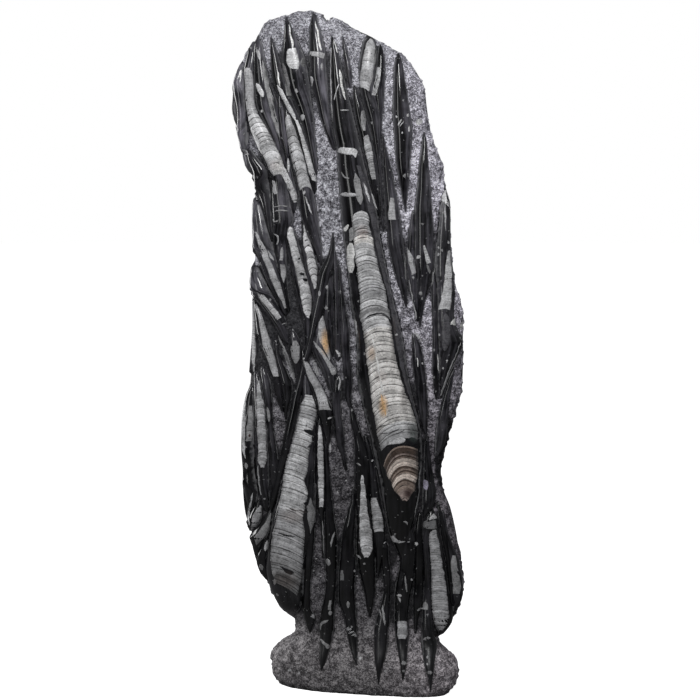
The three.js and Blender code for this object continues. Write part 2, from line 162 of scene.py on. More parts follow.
# The block's plan by height: height, left side, right side, how far it reaches to the front and to the
# back, and degrees it is turned
BLOCK = [
    (0, -98, 136, 55, 52, 9),
    (12, -107, 144, 58, 56, 9),
    (34, -110, 146, 59, 55, 9),
    (50, -101, 133, 56, 46, 8),
    (61, -83, 121, 51, 40, 6),
    (70, -75, 118, 48, 39, 5),
    (84, -73, 130, 46, 40, 4),
    (98, -80, 139, 43, 42, 3),
    (115, -98, 147, 41, 43, 1),
    (135, -108, 152, 40, 42, 0),
    (160, -121, 149, 39, 42, 0),
    (200, -131, 143, 39, 42, 0),
    (240, -140, 134, 39, 42, 0),
    (270, -142, 123, 39, 42, 0),
    (290, -141, 121, 39, 42, 0),
    (325, -143, 127, 40, 42, 0),
    (370, -142, 140, 40, 42, 0),
    (410, -135, 149, 40, 43, 0),
    (455, -131, 150, 40, 44, 0),
    (500, -129, 149, 40, 44, 0),
    (550, -130, 137, 40, 44, 0),
    (600, -126, 132, 40, 44, 0),
    (650, -127, 131, 40, 44, 0),
    (672, -123, 125, 40, 44, 0),
    (700, -137, 121, 40, 43, 0),
    (740, -146, 106, 39, 42, 0),
    (775, -154, 100, 37, 41, 0),
    (800, -153, 97, 35, 39, 0),
    (822, -147, 86, 33, 36, 0),
    (842, -138, 71, 30, 33, 0),
    (858, -129, 43, 27, 30, 0),
    (871, -120, 21, 24, 26, 0),
    (880, -115, 0, 20, 22, 0),
    (889, -101, -13, 15, 17, 0),
    (896, -84, -36, 10, 11, 0),
    (900, -68, -52, 5, 6, 0),
]

# The front's ribs as level cuts from the upper tip down: height, left edge, right edge
RIBS = [
    # the rounded left side, upper half
    [(808, -149, -146), (790, -151, -144), (760, -150, -142), (735, -146, -141), (718, -141, -138)],
    [(838, -137, -135), (822, -143, -133), (800, -145, -133), (770, -142, -132), (750, -141, -130),
     (722, -139, -128)],
    [(735, -144, -141), (715, -140, -131), (700, -135, -126), (670, -123, -117), (655, -117, -111)],
    [(722, -130, -127), (705, -127, -113), (690, -121, -101), (670, -117, -100), (650, -111, -99),
     (630, -107, -99), (605, -101, -97)],
    [(656, -120, -116), (640, -126, -110), (620, -125, -104), (600, -123, -98), (580, -116, -93),
     (560, -110, -88), (540, -102, -84), (525, -94, -80), (508, -86, -78)],
    [(574, -126, -123), (566, -129, -117), (555, -130, -111), (542, -127, -103), (525, -114, -95),
     (508, -102, -84), (495, -93, -80)],
    [(542, -126, -121), (530, -122, -113), (515, -112, -101), (500, -102, -88), (488, -95, -81),
     (472, -86, -77)],
    [(535, -126, -124), (510, -126, -120), (480, -127, -121), (450, -127, -121), (426, -128, -123)],
    # crown, left to right
    [(860, -123, -121), (840, -130, -118), (820, -134, -121), (790, -133, -121), (770, -131, -117),
     (750, -127, -104), (725, -118, -90), (700, -107, -82), (680, -101, -77), (655, -99, -75),
     (630, -98, -70), (600, -97, -80), (570, -91, -80), (540, -86, -78), (510, -79, -75)],
    [(868, -116, -114), (850, -121, -109), (830, -122, -105), (805, -121, -101), (780, -119, -98),
     (760, -111, -94), (740, -101, -90), (715, -92, -86), (700, -88, -84)],
    [(842, -112, -110), (820, -108, -104), (800, -104, -98), (780, -99, -91), (760, -96, -89),
     (740, -91, -86), (715, -87, -83), (695, -82, -79)],
    [(866, -100, -98), (850, -100, -92), (825, -99, -85), (805, -96, -80), (790, -89, -74),
     (757, -72, -60), (720, -60, -50), (700, -55, -44), (683, -50, -40), (668, -46, -40)],
    [(791, -90, -88), (775, -91, -84), (740, -88, -78), (720, -83, -76), (695, -78, -76)],
    [(772, -82, -77), (758, -83, -72), (740, -80, -65), (720, -77, -58), (700, -72, -52), (680, -68, -47),
     (660, -64, -43), (640, -62, -39), (615, -55, -36), (595, -46, -34), (572, -36, -33)],
    [(712, -79, -77), (695, -81, -73), (675, -79, -68), (655, -74, -65), (640, -72, -69)],
    [(892, -80, -78), (875, -82, -70), (855, -84, -61), (840, -86, -55), (820, -84, -51), (800, -79, -48),
     (780, -69, -46), (760, -61, -43), (740, -55, -42), (715, -49, -40), (690, -43, -39)],
    [(897, -45, -42), (880, -49, -36), (860, -50, -31), (840, -50, -27), (820, -50, -26), (800, -46, -25),
     (780, -40, -23), (760, -35, -21), (740, -28, -19), (722, -20, -17)],
    # the great rib, from the crown to below the big shell
    [(866, -21, -19), (850, -22, -13), (830, -22, -8), (800, -21, -1), (775, -20, 5), (750, -18, 11),
     (725, -16, 17), (700, -14, 23), (670, -11, 31), (640, -9, 39), (610, -6, 43), (580, -3, 49),
     (550, 0, 55), (520, 3, 62), (490, 8, 70), (460, 11, 75), (430, 13, 79), (400, 17, 86), (370, 23, 93),
     (340, 31, 98), (310, 37, 98), (280, 44, 96), (250, 48, 93), (220, 53, 86), (190, 66, 82),
     (160, 77, 80)],
    [(866, -7, -5), (850, -6, -1), (830, -3, 4), (815, -1, 6), (800, 3, 5)],
    [(802, 8, 10), (790, 7, 15), (775, 8, 21), (760, 10, 25), (740, 15, 31), (720, 19, 36), (700, 24, 40),
     (680, 28, 41), (650, 36, 42), (635, 40, 43)],
    [(871, 27, 29), (860, 20, 36), (845, 17, 38), (825, 14, 36), (800, 16, 34), (780, 20, 40),
     (760, 26, 43), (740, 31, 43), (715, 36, 43), (690, 40, 44), (640, 43, 46), (615, 46, 48)],
    [(856, 41, 43), (840, 38, 48), (820, 36, 49), (800, 33, 48), (780, 36, 47), (760, 40, 45),
     (740, 42, 44)],
    [(845, 64, 66), (830, 60, 71), (800, 59, 76), (770, 58, 81), (740, 60, 84), (710, 62, 82),
     (680, 67, 80), (655, 72, 77), (640, 75, 76)],
    # right side, downwards
    [(740, 46, 47), (720, 46, 51), (700, 46, 56), (675, 47, 61), (650, 48, 66), (625, 50, 70),
     (600, 52, 73), (575, 57, 76), (550, 64, 77), (530, 71, 78), (516, 76, 78)],
    [(640, 84, 87), (620, 80, 87), (600, 78, 87), (580, 77, 88), (560, 79, 90), (540, 81, 91),
     (520, 85, 92), (500, 89, 93)],
    [(741, 98, 100), (720, 95, 103), (700, 92, 105), (670, 90, 108), (640, 87, 110), (600, 87, 112),
     (570, 88, 112), (550, 90, 108), (530, 91, 103), (510, 92, 99), (488, 94, 95)],
    [(674, 125, 127), (660, 122, 131), (640, 119, 134), (620, 117, 133), (600, 115, 134), (580, 114, 135),
     (560, 113, 137), (540, 116, 138), (510, 117, 138), (490, 117, 141), (470, 118, 148), (450, 119, 143),
     (435, 120, 137), (420, 120, 131), (405, 121, 126), (395, 121, 123)],
    [(562, 111, 113), (540, 109, 116), (510, 110, 117), (480, 111, 118), (450, 111, 119), (430, 111, 120),
     (410, 113, 119), (394, 114, 117)],
    [(480, 84, 87), (462, 84, 97), (445, 84, 100), (425, 87, 103), (400, 89, 105), (380, 92, 106),
     (360, 96, 105), (346, 103, 105)],
    [(435, 137, 139), (415, 131, 137), (395, 124, 134), (375, 119, 132), (355, 116, 130), (335, 115, 126),
     (317, 116, 118)],
    # middle left, below the pecked band
    [(626, -78, -73), (610, -83, -67), (590, -79, -61), (570, -75, -57), (550, -72, -51), (530, -68, -47),
     (510, -63, -46), (490, -58, -46), (470, -56, -47), (455, -54, -50)],
    [(632, -60, -56), (610, -60, -52), (590, -60, -43), (570, -57, -39), (550, -52, -38), (530, -47, -38),
     (515, -45, -40)],
    [(612, -20, -18), (590, -24, -17), (575, -30, -17), (560, -38, -20), (540, -42, -24), (520, -46, -28),
     (500, -50, -33), (480, -53, -38), (460, -57, -45), (440, -62, -52), (420, -66, -56), (400, -72, -60),
     (380, -76, -64), (350, -83, -70), (320, -89, -77), (290, -97, -85), (265, -102, -91),
     (245, -104, -98)],
    [(565, -27, -24), (540, -30, -18), (510, -31, -18), (480, -27, -18), (455, -22, -18)],
    [(590, -18, -16), (560, -19, -12), (520, -18, -11), (480, -18, -9), (450, -17, -9)],
    [(570, -12, -10), (540, -11, -6), (510, -10, -2), (480, -9, 3), (450, -7, 3), (420, -5, 5),
     (400, -4, 4), (384, 0, 3)],
    [(512, -36, -33), (500, -40, -31), (485, -44, -26), (465, -48, -24), (450, -44, -21), (435, -36, -14),
     (420, -30, -14), (405, -24, -14)],
    [(455, -61, -57), (440, -62, -50), (425, -56, -42), (410, -51, -33), (395, -46, -26), (378, -40, -19),
     (362, -36, -20), (345, -31, -22), (330, -27, -24)],
    [(480, -76, -67), (465, -78, -60), (450, -76, -59), (435, -72, -60), (420, -68, -61), (405, -66, -63)],
    # left side, lower half
    [(520, -121, -119), (500, -119, -111), (485, -118, -106), (470, -115, -101), (455, -110, -97),
     (440, -105, -93), (425, -100, -89), (405, -96, -86), (378, -88, -84)],
    [(470, -96, -92), (450, -95, -88), (430, -91, -79), (410, -88, -72), (395, -85, -74), (375, -84, -79),
     (363, -82, -80)],
    [(432, -114, -108), (410, -112, -100), (390, -109, -99), (370, -107, -99), (350, -105, -97),
     (325, -104, -93), (300, -103, -91), (270, -100, -97)],
    [(425, -122, -118), (405, -122, -112), (385, -122, -109), (360, -122, -106), (330, -122, -105),
     (305, -121, -104), (285, -119, -104), (262, -115, -103), (240, -108, -105)],
    [(405, -127, -123), (385, -132, -123), (360, -136, -123), (338, -138, -124), (315, -139, -123),
     (290, -137, -121), (265, -133, -118), (245, -130, -123)],
    [(410, -132, -129), (390, -137, -130), (370, -140, -132), (350, -142, -133), (330, -141, -134),
     (312, -140, -137)],
    [(298, -138, -133), (275, -140, -131), (255, -138, -130), (235, -135, -129), (220, -132, -129)],
    [(256, -118, -115), (240, -126, -113), (225, -130, -116), (212, -129, -123)],
    [(246, -103, -99), (235, -109, -99), (220, -118, -102), (205, -128, -106), (190, -127, -113),
     (162, -119, -115)],
    [(210, -110, -106), (195, -113, -105), (175, -118, -106), (155, -113, -105), (147, -108, -104)],
    [(425, -58, -52), (405, -60, -47), (385, -63, -40), (360, -68, -40), (335, -75, -40), (310, -82, -40),
     (285, -88, -40), (260, -93, -41), (235, -99, -42), (210, -103, -46), (185, -107, -52),
     (165, -108, -56), (145, -103, -57), (125, -95, -58), (110, -87, -62), (100, -78, -68)],
    # middle, lower half
    [(372, -38, -34), (355, -42, -31), (330, -43, -30), (300, -42, -29), (275, -42, -28), (255, -41, -28),
     (240, -38, -31), (215, -35, -31), (182, -34, -31)],
    [(345, -29, -27), (320, -31, -25), (290, -30, -23), (260, -30, -20), (235, -31, -17), (205, -31, -13),
     (175, -30, -13), (150, -29, -14), (130, -31, -16), (110, -35, -17), (90, -37, -17), (70, -37, -20),
     (50, -37, -25), (28, -36, -33)],
    [(240, -50, -45), (215, -56, -43), (195, -58, -44), (165, -58, -47), (140, -59, -49), (115, -60, -49),
     (95, -57, -42), (85, -54, -45), (76, -51, -49)],
    [(420, -18, -9), (400, -20, -8), (380, -20, -9), (360, -18, -7), (345, -17, -5), (325, -12, -2),
     (300, -2, 0)],
    [(275, 6, 9), (255, 4, 11), (235, -4, 11), (210, -8, 11), (180, -11, 11), (150, -13, 10),
     (125, -13, 11), (105, -6, 12), (85, -2, 13), (65, 2, 13), (50, 6, 12), (38, 10, 11)],
    [(388, 4, 6), (365, 5, 13), (345, 8, 20), (325, 9, 28), (300, 9, 32), (270, 9, 30), (240, 11, 33),
     (210, 12, 36), (180, 12, 38), (155, 17, 38), (135, 21, 37), (115, 26, 34), (102, 30, 32)],
    [(345, 22, 26), (325, 24, 33), (300, 27, 38), (275, 28, 42), (250, 30, 47), (225, 32, 51),
     (200, 35, 50), (180, 37, 47), (165, 38, 43), (150, 37, 39)],
    [(200, 43, 54), (180, 44, 55), (160, 46, 58), (140, 48, 58), (120, 44, 57), (100, 38, 57),
     (80, 35, 54), (60, 35, 53), (40, 37, 48), (25, 39, 44), (13, 41, 42)],
    [(230, 70, 84), (200, 69, 92), (170, 68, 90), (150, 64, 88), (130, 62, 84), (95, 62, 81), (75, 64, 81),
     (60, 66, 80), (45, 69, 79), (32, 71, 77), (20, 73, 74)],
    [(240, 92, 98), (210, 88, 99), (180, 88, 101), (150, 88, 101), (125, 86, 100), (105, 87, 95),
     (82, 89, 91)],
    [(345, 103, 106), (325, 101, 108), (300, 100, 111), (280, 99, 114), (265, 98, 116), (250, 98, 113),
     (238, 99, 104)],
    [(236, 100, 117), (222, 99, 112), (200, 99, 108), (170, 100, 110), (140, 101, 111), (115, 99, 112),
     (90, 98, 114), (70, 98, 115), (50, 100, 116), (35, 103, 115), (20, 108, 113), (5, 110, 111)],
    [(236, 104, 118), (222, 104, 120), (200, 105, 125), (180, 108, 129), (160, 110, 132), (130, 110, 136),
     (110, 111, 138), (95, 114, 137), (85, 118, 132), (72, 119, 124)],
    [(255, 118, 120), (235, 120, 125), (205, 124, 131), (180, 129, 135), (160, 131, 137), (135, 134, 139),
     (103, 137, 138)],
    [(242, 124, 127), (220, 127, 131), (200, 130, 137), (185, 132, 142), (170, 134, 147), (150, 136, 151),
     (130, 137, 152), (115, 138, 147), (103, 138, 142)],
]

# ---- The fossils of the front. Tones are named; outlines are (x, z) points from the upper end down.
TONES = {
    "white": (0.78, 0.78, 0.77), "pale": (0.55, 0.55, 0.56), "grey": (0.40, 0.40, 0.41),
    "mid": (0.27, 0.27, 0.275), "dim": (0.16, 0.16, 0.165), "dark": (0.06, 0.06, 0.065),
    "black": (0.010, 0.010, 0.012), "cream": (0.66, 0.57, 0.51), "tan": (0.30, 0.235, 0.20),
    "brown": (0.065, 0.046, 0.037), "rust": (0.065, 0.040, 0.037), "amber": (0.72, 0.46, 0.24),
    "lilac": (0.30, 0.28, 0.36), "bright": (0.74, 0.72, 0.70), "rose": (0.36, 0.29, 0.265),
    "moss": (0.06, 0.078, 0.072), "soft": (0.46, 0.46, 0.47), "layer": (0.085, 0.083, 0.092),
}

# Shells: tone and outlines. pitch is the distance between chamber walls and bow how far they bow up, as a
# share of the half width. strong lists the heights of strong walls, and faint is how strong the others
# are. Each band starts another tone at a share of the way down. drop is how far walls fall to the right.
SHELLS = [
    # crown, left to right
    dict(tone="grey", left=[(-132, 826), (-134, 820), (-133, 800), (-133, 780), (-129, 766)],
         right=[(-127, 826), (-124, 820), (-122, 800), (-121, 780), (-116, 768)]),
    dict(tone="pale", pitch=8, bow=0.5, strong=(758, 750, 745, 737, 732, 727),
         left=[(-129, 762), (-127, 750), (-124, 740), (-113, 720), (-107, 705), (-100, 690), (-97, 686)],
         right=[(-115, 765), (-108, 755), (-100, 742), (-93, 728), (-88, 712), (-82, 695), (-80, 684)]),
    dict(tone="pale", left=[(-129, 750), (-127, 725), (-122, 714)],
         right=[(-121, 745), (-114, 725), (-115, 715)]),
    dict(tone="pale", left=[(-91, 700), (-86, 688), (-80, 676), (-76, 665), (-71, 652)],
         right=[(-87, 712), (-80, 694), (-73, 680), (-67, 666), (-63, 653)]),
    dict(tone="soft", pitch=8, bow=0.8, strong=(733, 724, 713, 700, 690),
         left=[(-79, 764), (-82, 758), (-80, 745), (-77, 725), (-75, 712), (-71, 700), (-68, 690),
               (-63, 668)],
         right=[(-75, 764), (-73, 758), (-68, 745), (-64, 735), (-60, 720), (-56, 708), (-50, 680),
                (-45, 665)]),
    dict(tone="pale", left=[(-68, 759), (-64, 745), (-59, 726), (-56, 712), (-51, 694), (-47, 681)],
         right=[(-64, 759), (-56, 735), (-48, 713), (-44, 697), (-40, 684), (-40, 679)]),
    dict(tone="pale", left=[(-78, 850), (-79, 844), (-79, 835), (-78, 829), (-75, 825)],
         right=[(-67, 851), (-65, 844), (-63, 836), (-62, 829), (-64, 824)]),
    dict(tone="mid", left=[(-88, 832), (-83, 815), (-79, 790)],
         right=[(-82, 832), (-77, 815), (-73, 790)]),
    dict(tone="grey", pitch=11, bow=0.3,
         left=[(28, 862), (24, 856), (22, 850), (20, 840), (18, 825), (15, 812), (14, 800)],
         right=[(32, 862), (35, 857), (36, 850), (35, 835), (33, 820), (30, 805), (27, 795)]),
    dict(tone="grey", left=[(38, 826), (36, 815), (31, 790)], right=[(42, 826), (42, 812), (37, 790)]),
    dict(tone="grey", pitch=3, bow=0.3, left=[(21, 735), (23, 715), (26, 705), (29, 690), (32, 682)],
         right=[(27, 740), (32, 720), (34, 705), (36, 690), (37, 682)]),
    dict(tone="mid", left=[(18, 770), (17, 758), (20, 745)], right=[(22, 771), (24, 760), (23, 745)]),
    # the great rib: a smooth layer on its right, and the largest shell
    dict(tone="layer",
         left=[(12, 700), (20, 670), (28, 640), (35, 610), (41, 580), (47, 552), (55, 520), (60, 490),
               (65, 460), (71, 430), (80, 402), (88, 378), (93, 362)],
         right=[(17, 700), (27, 670), (36, 640), (40, 610), (46, 580), (52, 552), (59, 520), (67, 490),
                (72, 460), (76, 430), (83, 402), (90, 378), (95, 362)]),
    dict(tone="pale", pitch=3.9, bow=0.36, faint=(0.35, 0.8), strong=(612, 577, 570, 566, 535, 520, 512),
         bands=((0.0, "pale"), (0.12, "grey"), (0.28, "bright"), (0.36, "pale"), (0.76, "grey"),
                (0.84, "pale")),
         left=[(15, 641), (9, 637), (6, 628), (9, 615), (8, 600), (10, 580), (13, 560), (14, 545),
               (16, 525), (16, 507)],
         right=[(19, 641), (25, 639), (27, 635), (29, 620), (33, 605), (37, 585), (44, 555), (50, 535),
                (54, 509)]),
    dict(tone="bright", pitch=5.6, bow=0.34, drop=-1.6, faint=(0.4, 0.95),
         strong=(478, 461, 452, 442, 431, 421, 407, 395, 379, 362, 352, 345),
         bands=((0.0, "mid"), (0.03, "pale"), (0.15, "bright"), (0.88, "pale"), (0.95, "grey")),
         left=[(15, 507), (21, 483), (24, 455), (28, 425), (32, 390), (37, 362), (39, 350), (44, 328)],
         right=[(54, 512), (58, 485), (62, 455), (69, 425), (77, 400), (82, 390), (88, 370), (92, 355),
                (92, 340)]),
    dict(tone="cream", pitch=3.4, bow=0.6, faint=(0.2, 0.7),
         bands=((0.0, "tan"), (0.035, "brown"), (0.14, "rose"), (0.17, "brown"), (0.20, "tan"),
                (0.24, "cream"), (0.38, "brown"), (0.41, "tan"), (0.45, "brown"), (0.49, "tan"),
                (0.52, "cream"), (0.62, "brown"), (0.65, "tan"), (0.80, "rose")),
         left=[(47, 306), (50, 300), (52, 294), (57, 285), (60, 277), (64, 271), (69, 266), (72, 260)],
         right=[(92, 329), (93, 314), (93, 298), (91, 285), (89, 275), (85, 269), (81, 262), (79, 259)]),
    dict(tone="white", left=[(2, 600), (-1, 592), (-1, 573), (2, 561)],
         right=[(6, 600), (9, 592), (9, 573), (6, 561)]),
    dict(tone="grey", left=[(56, 659), (53, 640), (53, 630)], right=[(60, 659), (62, 642), (63, 630)]),
    # middle left
    dict(tone="grey", pitch=14, bow=0.3,
         left=[(-123, 614), (-121, 608), (-114, 586), (-105, 563), (-98, 545), (-91, 531), (-86, 520),
               (-83, 514)],
         right=[(-119, 614), (-107, 592), (-99, 572), (-92, 554), (-86, 541), (-84, 532), (-81, 520),
                (-80, 514)]),
    dict(tone="grey", left=[(-87, 593), (-89, 585), (-89, 577)],
         right=[(-85, 594), (-84, 585), (-85, 577)]),
    dict(tone="grey", left=[(-88, 571), (-88, 560), (-84, 548)],
         right=[(-82, 571), (-80, 560), (-83, 547)]),
    dict(tone="pale", pitch=6.6, bow=0.5, faint=(0.3, 0.7),
         left=[(-78, 618), (-79, 612), (-76, 596), (-72, 579), (-67, 560), (-64, 543), (-61, 525),
               (-58, 511), (-54, 502)],
         right=[(-72, 619), (-70, 614), (-67, 600), (-62, 583), (-57, 566), (-51, 548), (-47, 534),
                (-46, 521), (-47, 509), (-51, 501)]),
    dict(tone="pale", pitch=6.4, bow=0.7, strong=(592, 585, 577, 570, 563, 556),
         left=[(-57, 623), (-56, 614), (-58, 607), (-58, 599), (-54, 585), (-53, 572), (-50, 559),
               (-46, 548), (-44, 539)],
         right=[(-54, 623), (-53, 613), (-49, 603), (-46, 592), (-42, 577), (-39, 563), (-40, 553),
                (-42, 540)]),
    dict(tone="grey",
         left=[(-33, 508), (-36, 500), (-39, 492), (-39, 480), (-38, 473), (-35, 467), (-31, 460),
               (-27, 453), (-24, 446)],
         right=[(-31, 508), (-28, 500), (-26, 492), (-26, 480), (-25, 470), (-24, 460), (-23, 447)]),
    dict(tone="grey", left=[(-46, 470), (-38, 457), (-31, 446), (-25, 435), (-21, 427)],
         right=[(-44, 470), (-34, 460), (-27, 450), (-20, 440), (-14, 433), (-15, 428)]),
    dict(tone="pale", pitch=13, bow=0.2,
         left=[(-123, 538), (-117, 529), (-108, 516), (-100, 505), (-93, 495), (-89, 489)],
         right=[(-120, 539), (-108, 529), (-100, 519), (-92, 509), (-85, 501), (-80, 494)]),
    dict(tone="grey",
         left=[(-125, 534), (-122, 516), (-118, 500), (-115, 485), (-111, 460), (-107, 450), (-98, 424)],
         right=[(-124, 535), (-117, 515), (-110, 498), (-106, 484), (-99, 460), (-96, 450), (-90, 424)]),
    dict(tone="mid", left=[(-71, 471), (-75, 463), (-74, 450), (-70, 441)],
         right=[(-67, 471), (-63, 462), (-63, 450), (-67, 441)]),
    dict(tone="grey", pitch=24, bow=0.1, left=[(-59, 448), (-53, 425), (-43, 404), (-37, 380)],
         right=[(-56, 449), (-50, 438), (-43, 427), (-34, 417), (-28, 405), (-28, 399), (-25, 394),
                (-24, 385), (-20, 380)]),
    dict(tone="grey", left=[(-47, 445), (-41, 425)], right=[(-43, 446), (-36, 425)]),
    # left, lower half
    dict(tone="grey", pitch=4, bow=0.4,
         left=[(-119, 418), (-121, 390), (-120, 360), (-119, 330), (-119, 312), (-115, 302)],
         right=[(-117, 418), (-111, 390), (-108, 360), (-107, 330), (-107, 312), (-111, 302)]),
    dict(tone="mid", pitch=9, bow=0.2, left=[(-130, 385), (-132, 370), (-134, 355), (-134, 337)],
         right=[(-126, 384), (-125, 360), (-126, 337)]),
    dict(tone="grey", left=[(-117, 252), (-123, 243), (-128, 233), (-129, 218)],
         right=[(-115, 251), (-115, 240), (-117, 232), (-123, 220)]),
    dict(tone="mid", left=[(-103, 242), (-107, 233), (-115, 221), (-125, 209)],
         right=[(-101, 240), (-104, 224), (-110, 210), (-122, 197)]),
    dict(tone="pale", pitch=3.4, bow=0.12, drop=4.0, faint=(0.1, 0.75),
         strong=(383, 372, 330, 318, 290, 270, 232, 213, 205, 197, 189, 181, 168, 161, 152, 146),
         bands=((0.0, "pale"), (0.07, "grey"), (0.12, "pale"), (0.62, "grey"), (0.84, "mid"),
                (0.93, "dim")),
         left=[(-56, 398), (-60, 388), (-67, 370), (-72, 348), (-78, 323), (-85, 290), (-90, 256),
               (-97, 224), (-102, 197), (-103, 174), (-101, 158), (-95, 144)],
         right=[(-41, 398), (-40, 388), (-42, 370), (-46, 353), (-48, 337), (-52, 317), (-53, 301),
                (-57, 286), (-53, 274), (-55, 256), (-59, 238), (-57, 220), (-58, 200), (-60, 166),
                (-64, 148), (-67, 133)]),
    dict(tone="mid", left=[(-50, 262), (-54, 245), (-50, 215)],
         right=[(-49, 262), (-42, 243), (-48, 215)]),
    dict(tone="pale", pitch=5, bow=0.3, left=[(-38, 360), (-39, 345), (-40, 320), (-39, 280), (-38, 250)],
         right=[(-36, 360), (-33, 345), (-32, 325), (-31, 285), (-33, 250)]),
    # middle and right, lower half
    dict(tone="pale", pitch=4, bow=0.3,
         left=[(19, 294), (17, 283), (17, 270), (16, 250), (16, 205), (18, 192), (22, 183)],
         right=[(21, 294), (22, 285), (26, 255), (30, 225), (33, 210), (33, 197), (27, 183)]),
    dict(tone="grey", pitch=2.6, bow=0.2, left=[(31, 263), (29, 255), (30, 245), (32, 230), (35, 217)],
         right=[(38, 263), (41, 255), (44, 245), (47, 232), (48, 219)]),
    dict(tone="grey", pitch=2.6, bow=0.15,
         left=[(112, 221), (106, 212), (108, 200), (110, 175), (111, 150), (112, 110), (115, 97),
               (121, 87)],
         right=[(117, 222), (120, 210), (125, 180), (130, 150), (134, 120), (135, 108), (132, 94),
                (127, 87)]),
    dict(tone="mid", left=[(139, 188), (136, 180), (137, 165), (139, 150), (140, 136)],
         right=[(143, 187), (145, 175), (149, 155), (150, 146), (149, 137)]),
    dict(tone="grey", left=[(76, 594), (78, 583), (81, 570), (84, 558)],
         right=[(78, 594), (84, 585), (89, 574), (91, 562)]),
    dict(tone="pale", left=[(98, 597), (100, 585), (104, 573)],
         right=[(100, 597), (105, 585), (109, 575)]),
    dict(tone="pale", left=[(131, 590), (128, 575), (127, 560), (125, 545), (122, 530), (118, 512)],
         right=[(134, 590), (135, 575), (136, 560), (136, 530), (134, 512)], bow=0.25),
    # foot
    dict(tone="grey", left=[(-37, 118), (-43, 113), (-48, 106), (-49, 102)],
         right=[(-35, 117), (-37, 110), (-40, 104), (-44, 100)]),
    dict(tone="mid", left=[(-25, 125), (-26, 112)], right=[(-22, 125), (-22, 112)]),
    dict(tone="dim", left=[(-9, 166), (-11, 152)], right=[(-6, 166), (-5, 152)]),
    dict(tone="grey", pitch=5, bow=0.2, left=[(67, 98), (66, 92), (66, 80), (68, 74)],
         right=[(79, 98), (80, 92), (80, 80), (77, 74)]),
    dict(tone="grey", left=[(-3, 87), (-3, 84), (4, 78), (9, 76)],
         right=[(1, 89), (7, 86), (11, 80), (12, 76)]),
]

# Single chips, each a loop of points
CHIPS = [
    ("pale", [(126, 671), (131, 663), (134, 650), (134, 643), (129, 649), (122, 656)]),
    ("grey", [(-106, 591), (-101, 586), (-95, 575), (-100, 579)]),
    ("grey", [(85, 484), (91, 482), (99, 470), (94, 474)]),
    ("grey", [(53, 214), (60, 214), (66, 208), (77, 205), (70, 203), (58, 205)]),
    ("pale", [(118, 245), (118, 237), (106, 234), (112, 243)]),
    ("dim", [(101, 235), (100, 226), (108, 222), (118, 224), (116, 234)]),
    ("lilac", [(99, 287), (104, 290), (107, 283), (105, 276), (100, 275)]),
    ("pale", [(50, 333), (57, 335), (68, 336), (74, 338), (77, 342), (74, 346), (64, 344), (54, 340)]),
    ("white", [(149, 509), (135, 496), (141, 491), (144, 496), (149, 500)]),
    ("white", [(151, 501), (146, 492), (147, 485), (152, 494)]),
    ("mid", [(103, 127), (107, 119), (107, 114), (100, 113), (91, 111), (97, 120)]),
    ("pale", [(88, 756), (92, 762), (98, 758), (95, 752), (90, 751)]),
    ("pale", [(-17, 462), (-5, 452), (-11, 448)]),
    ("grey", [(-99, 681), (-96, 682), (-92, 664), (-94, 661), (-97, 664)]),
    ("pale", [(-77, 712), (-79, 700), (-77, 690), (-75, 700)]),
    ("pale", [(90, 581), (93, 586), (96, 582), (91, 577)]),
    ("white", [(2, 626), (-6, 617), (-3, 613), (1, 619)]),
    ("mid", [(2, 620), (7, 620), (8, 602), (2, 602)]),
    ("grey", [(-137, 721), (-134, 723), (-129, 714), (-132, 712)]),
]

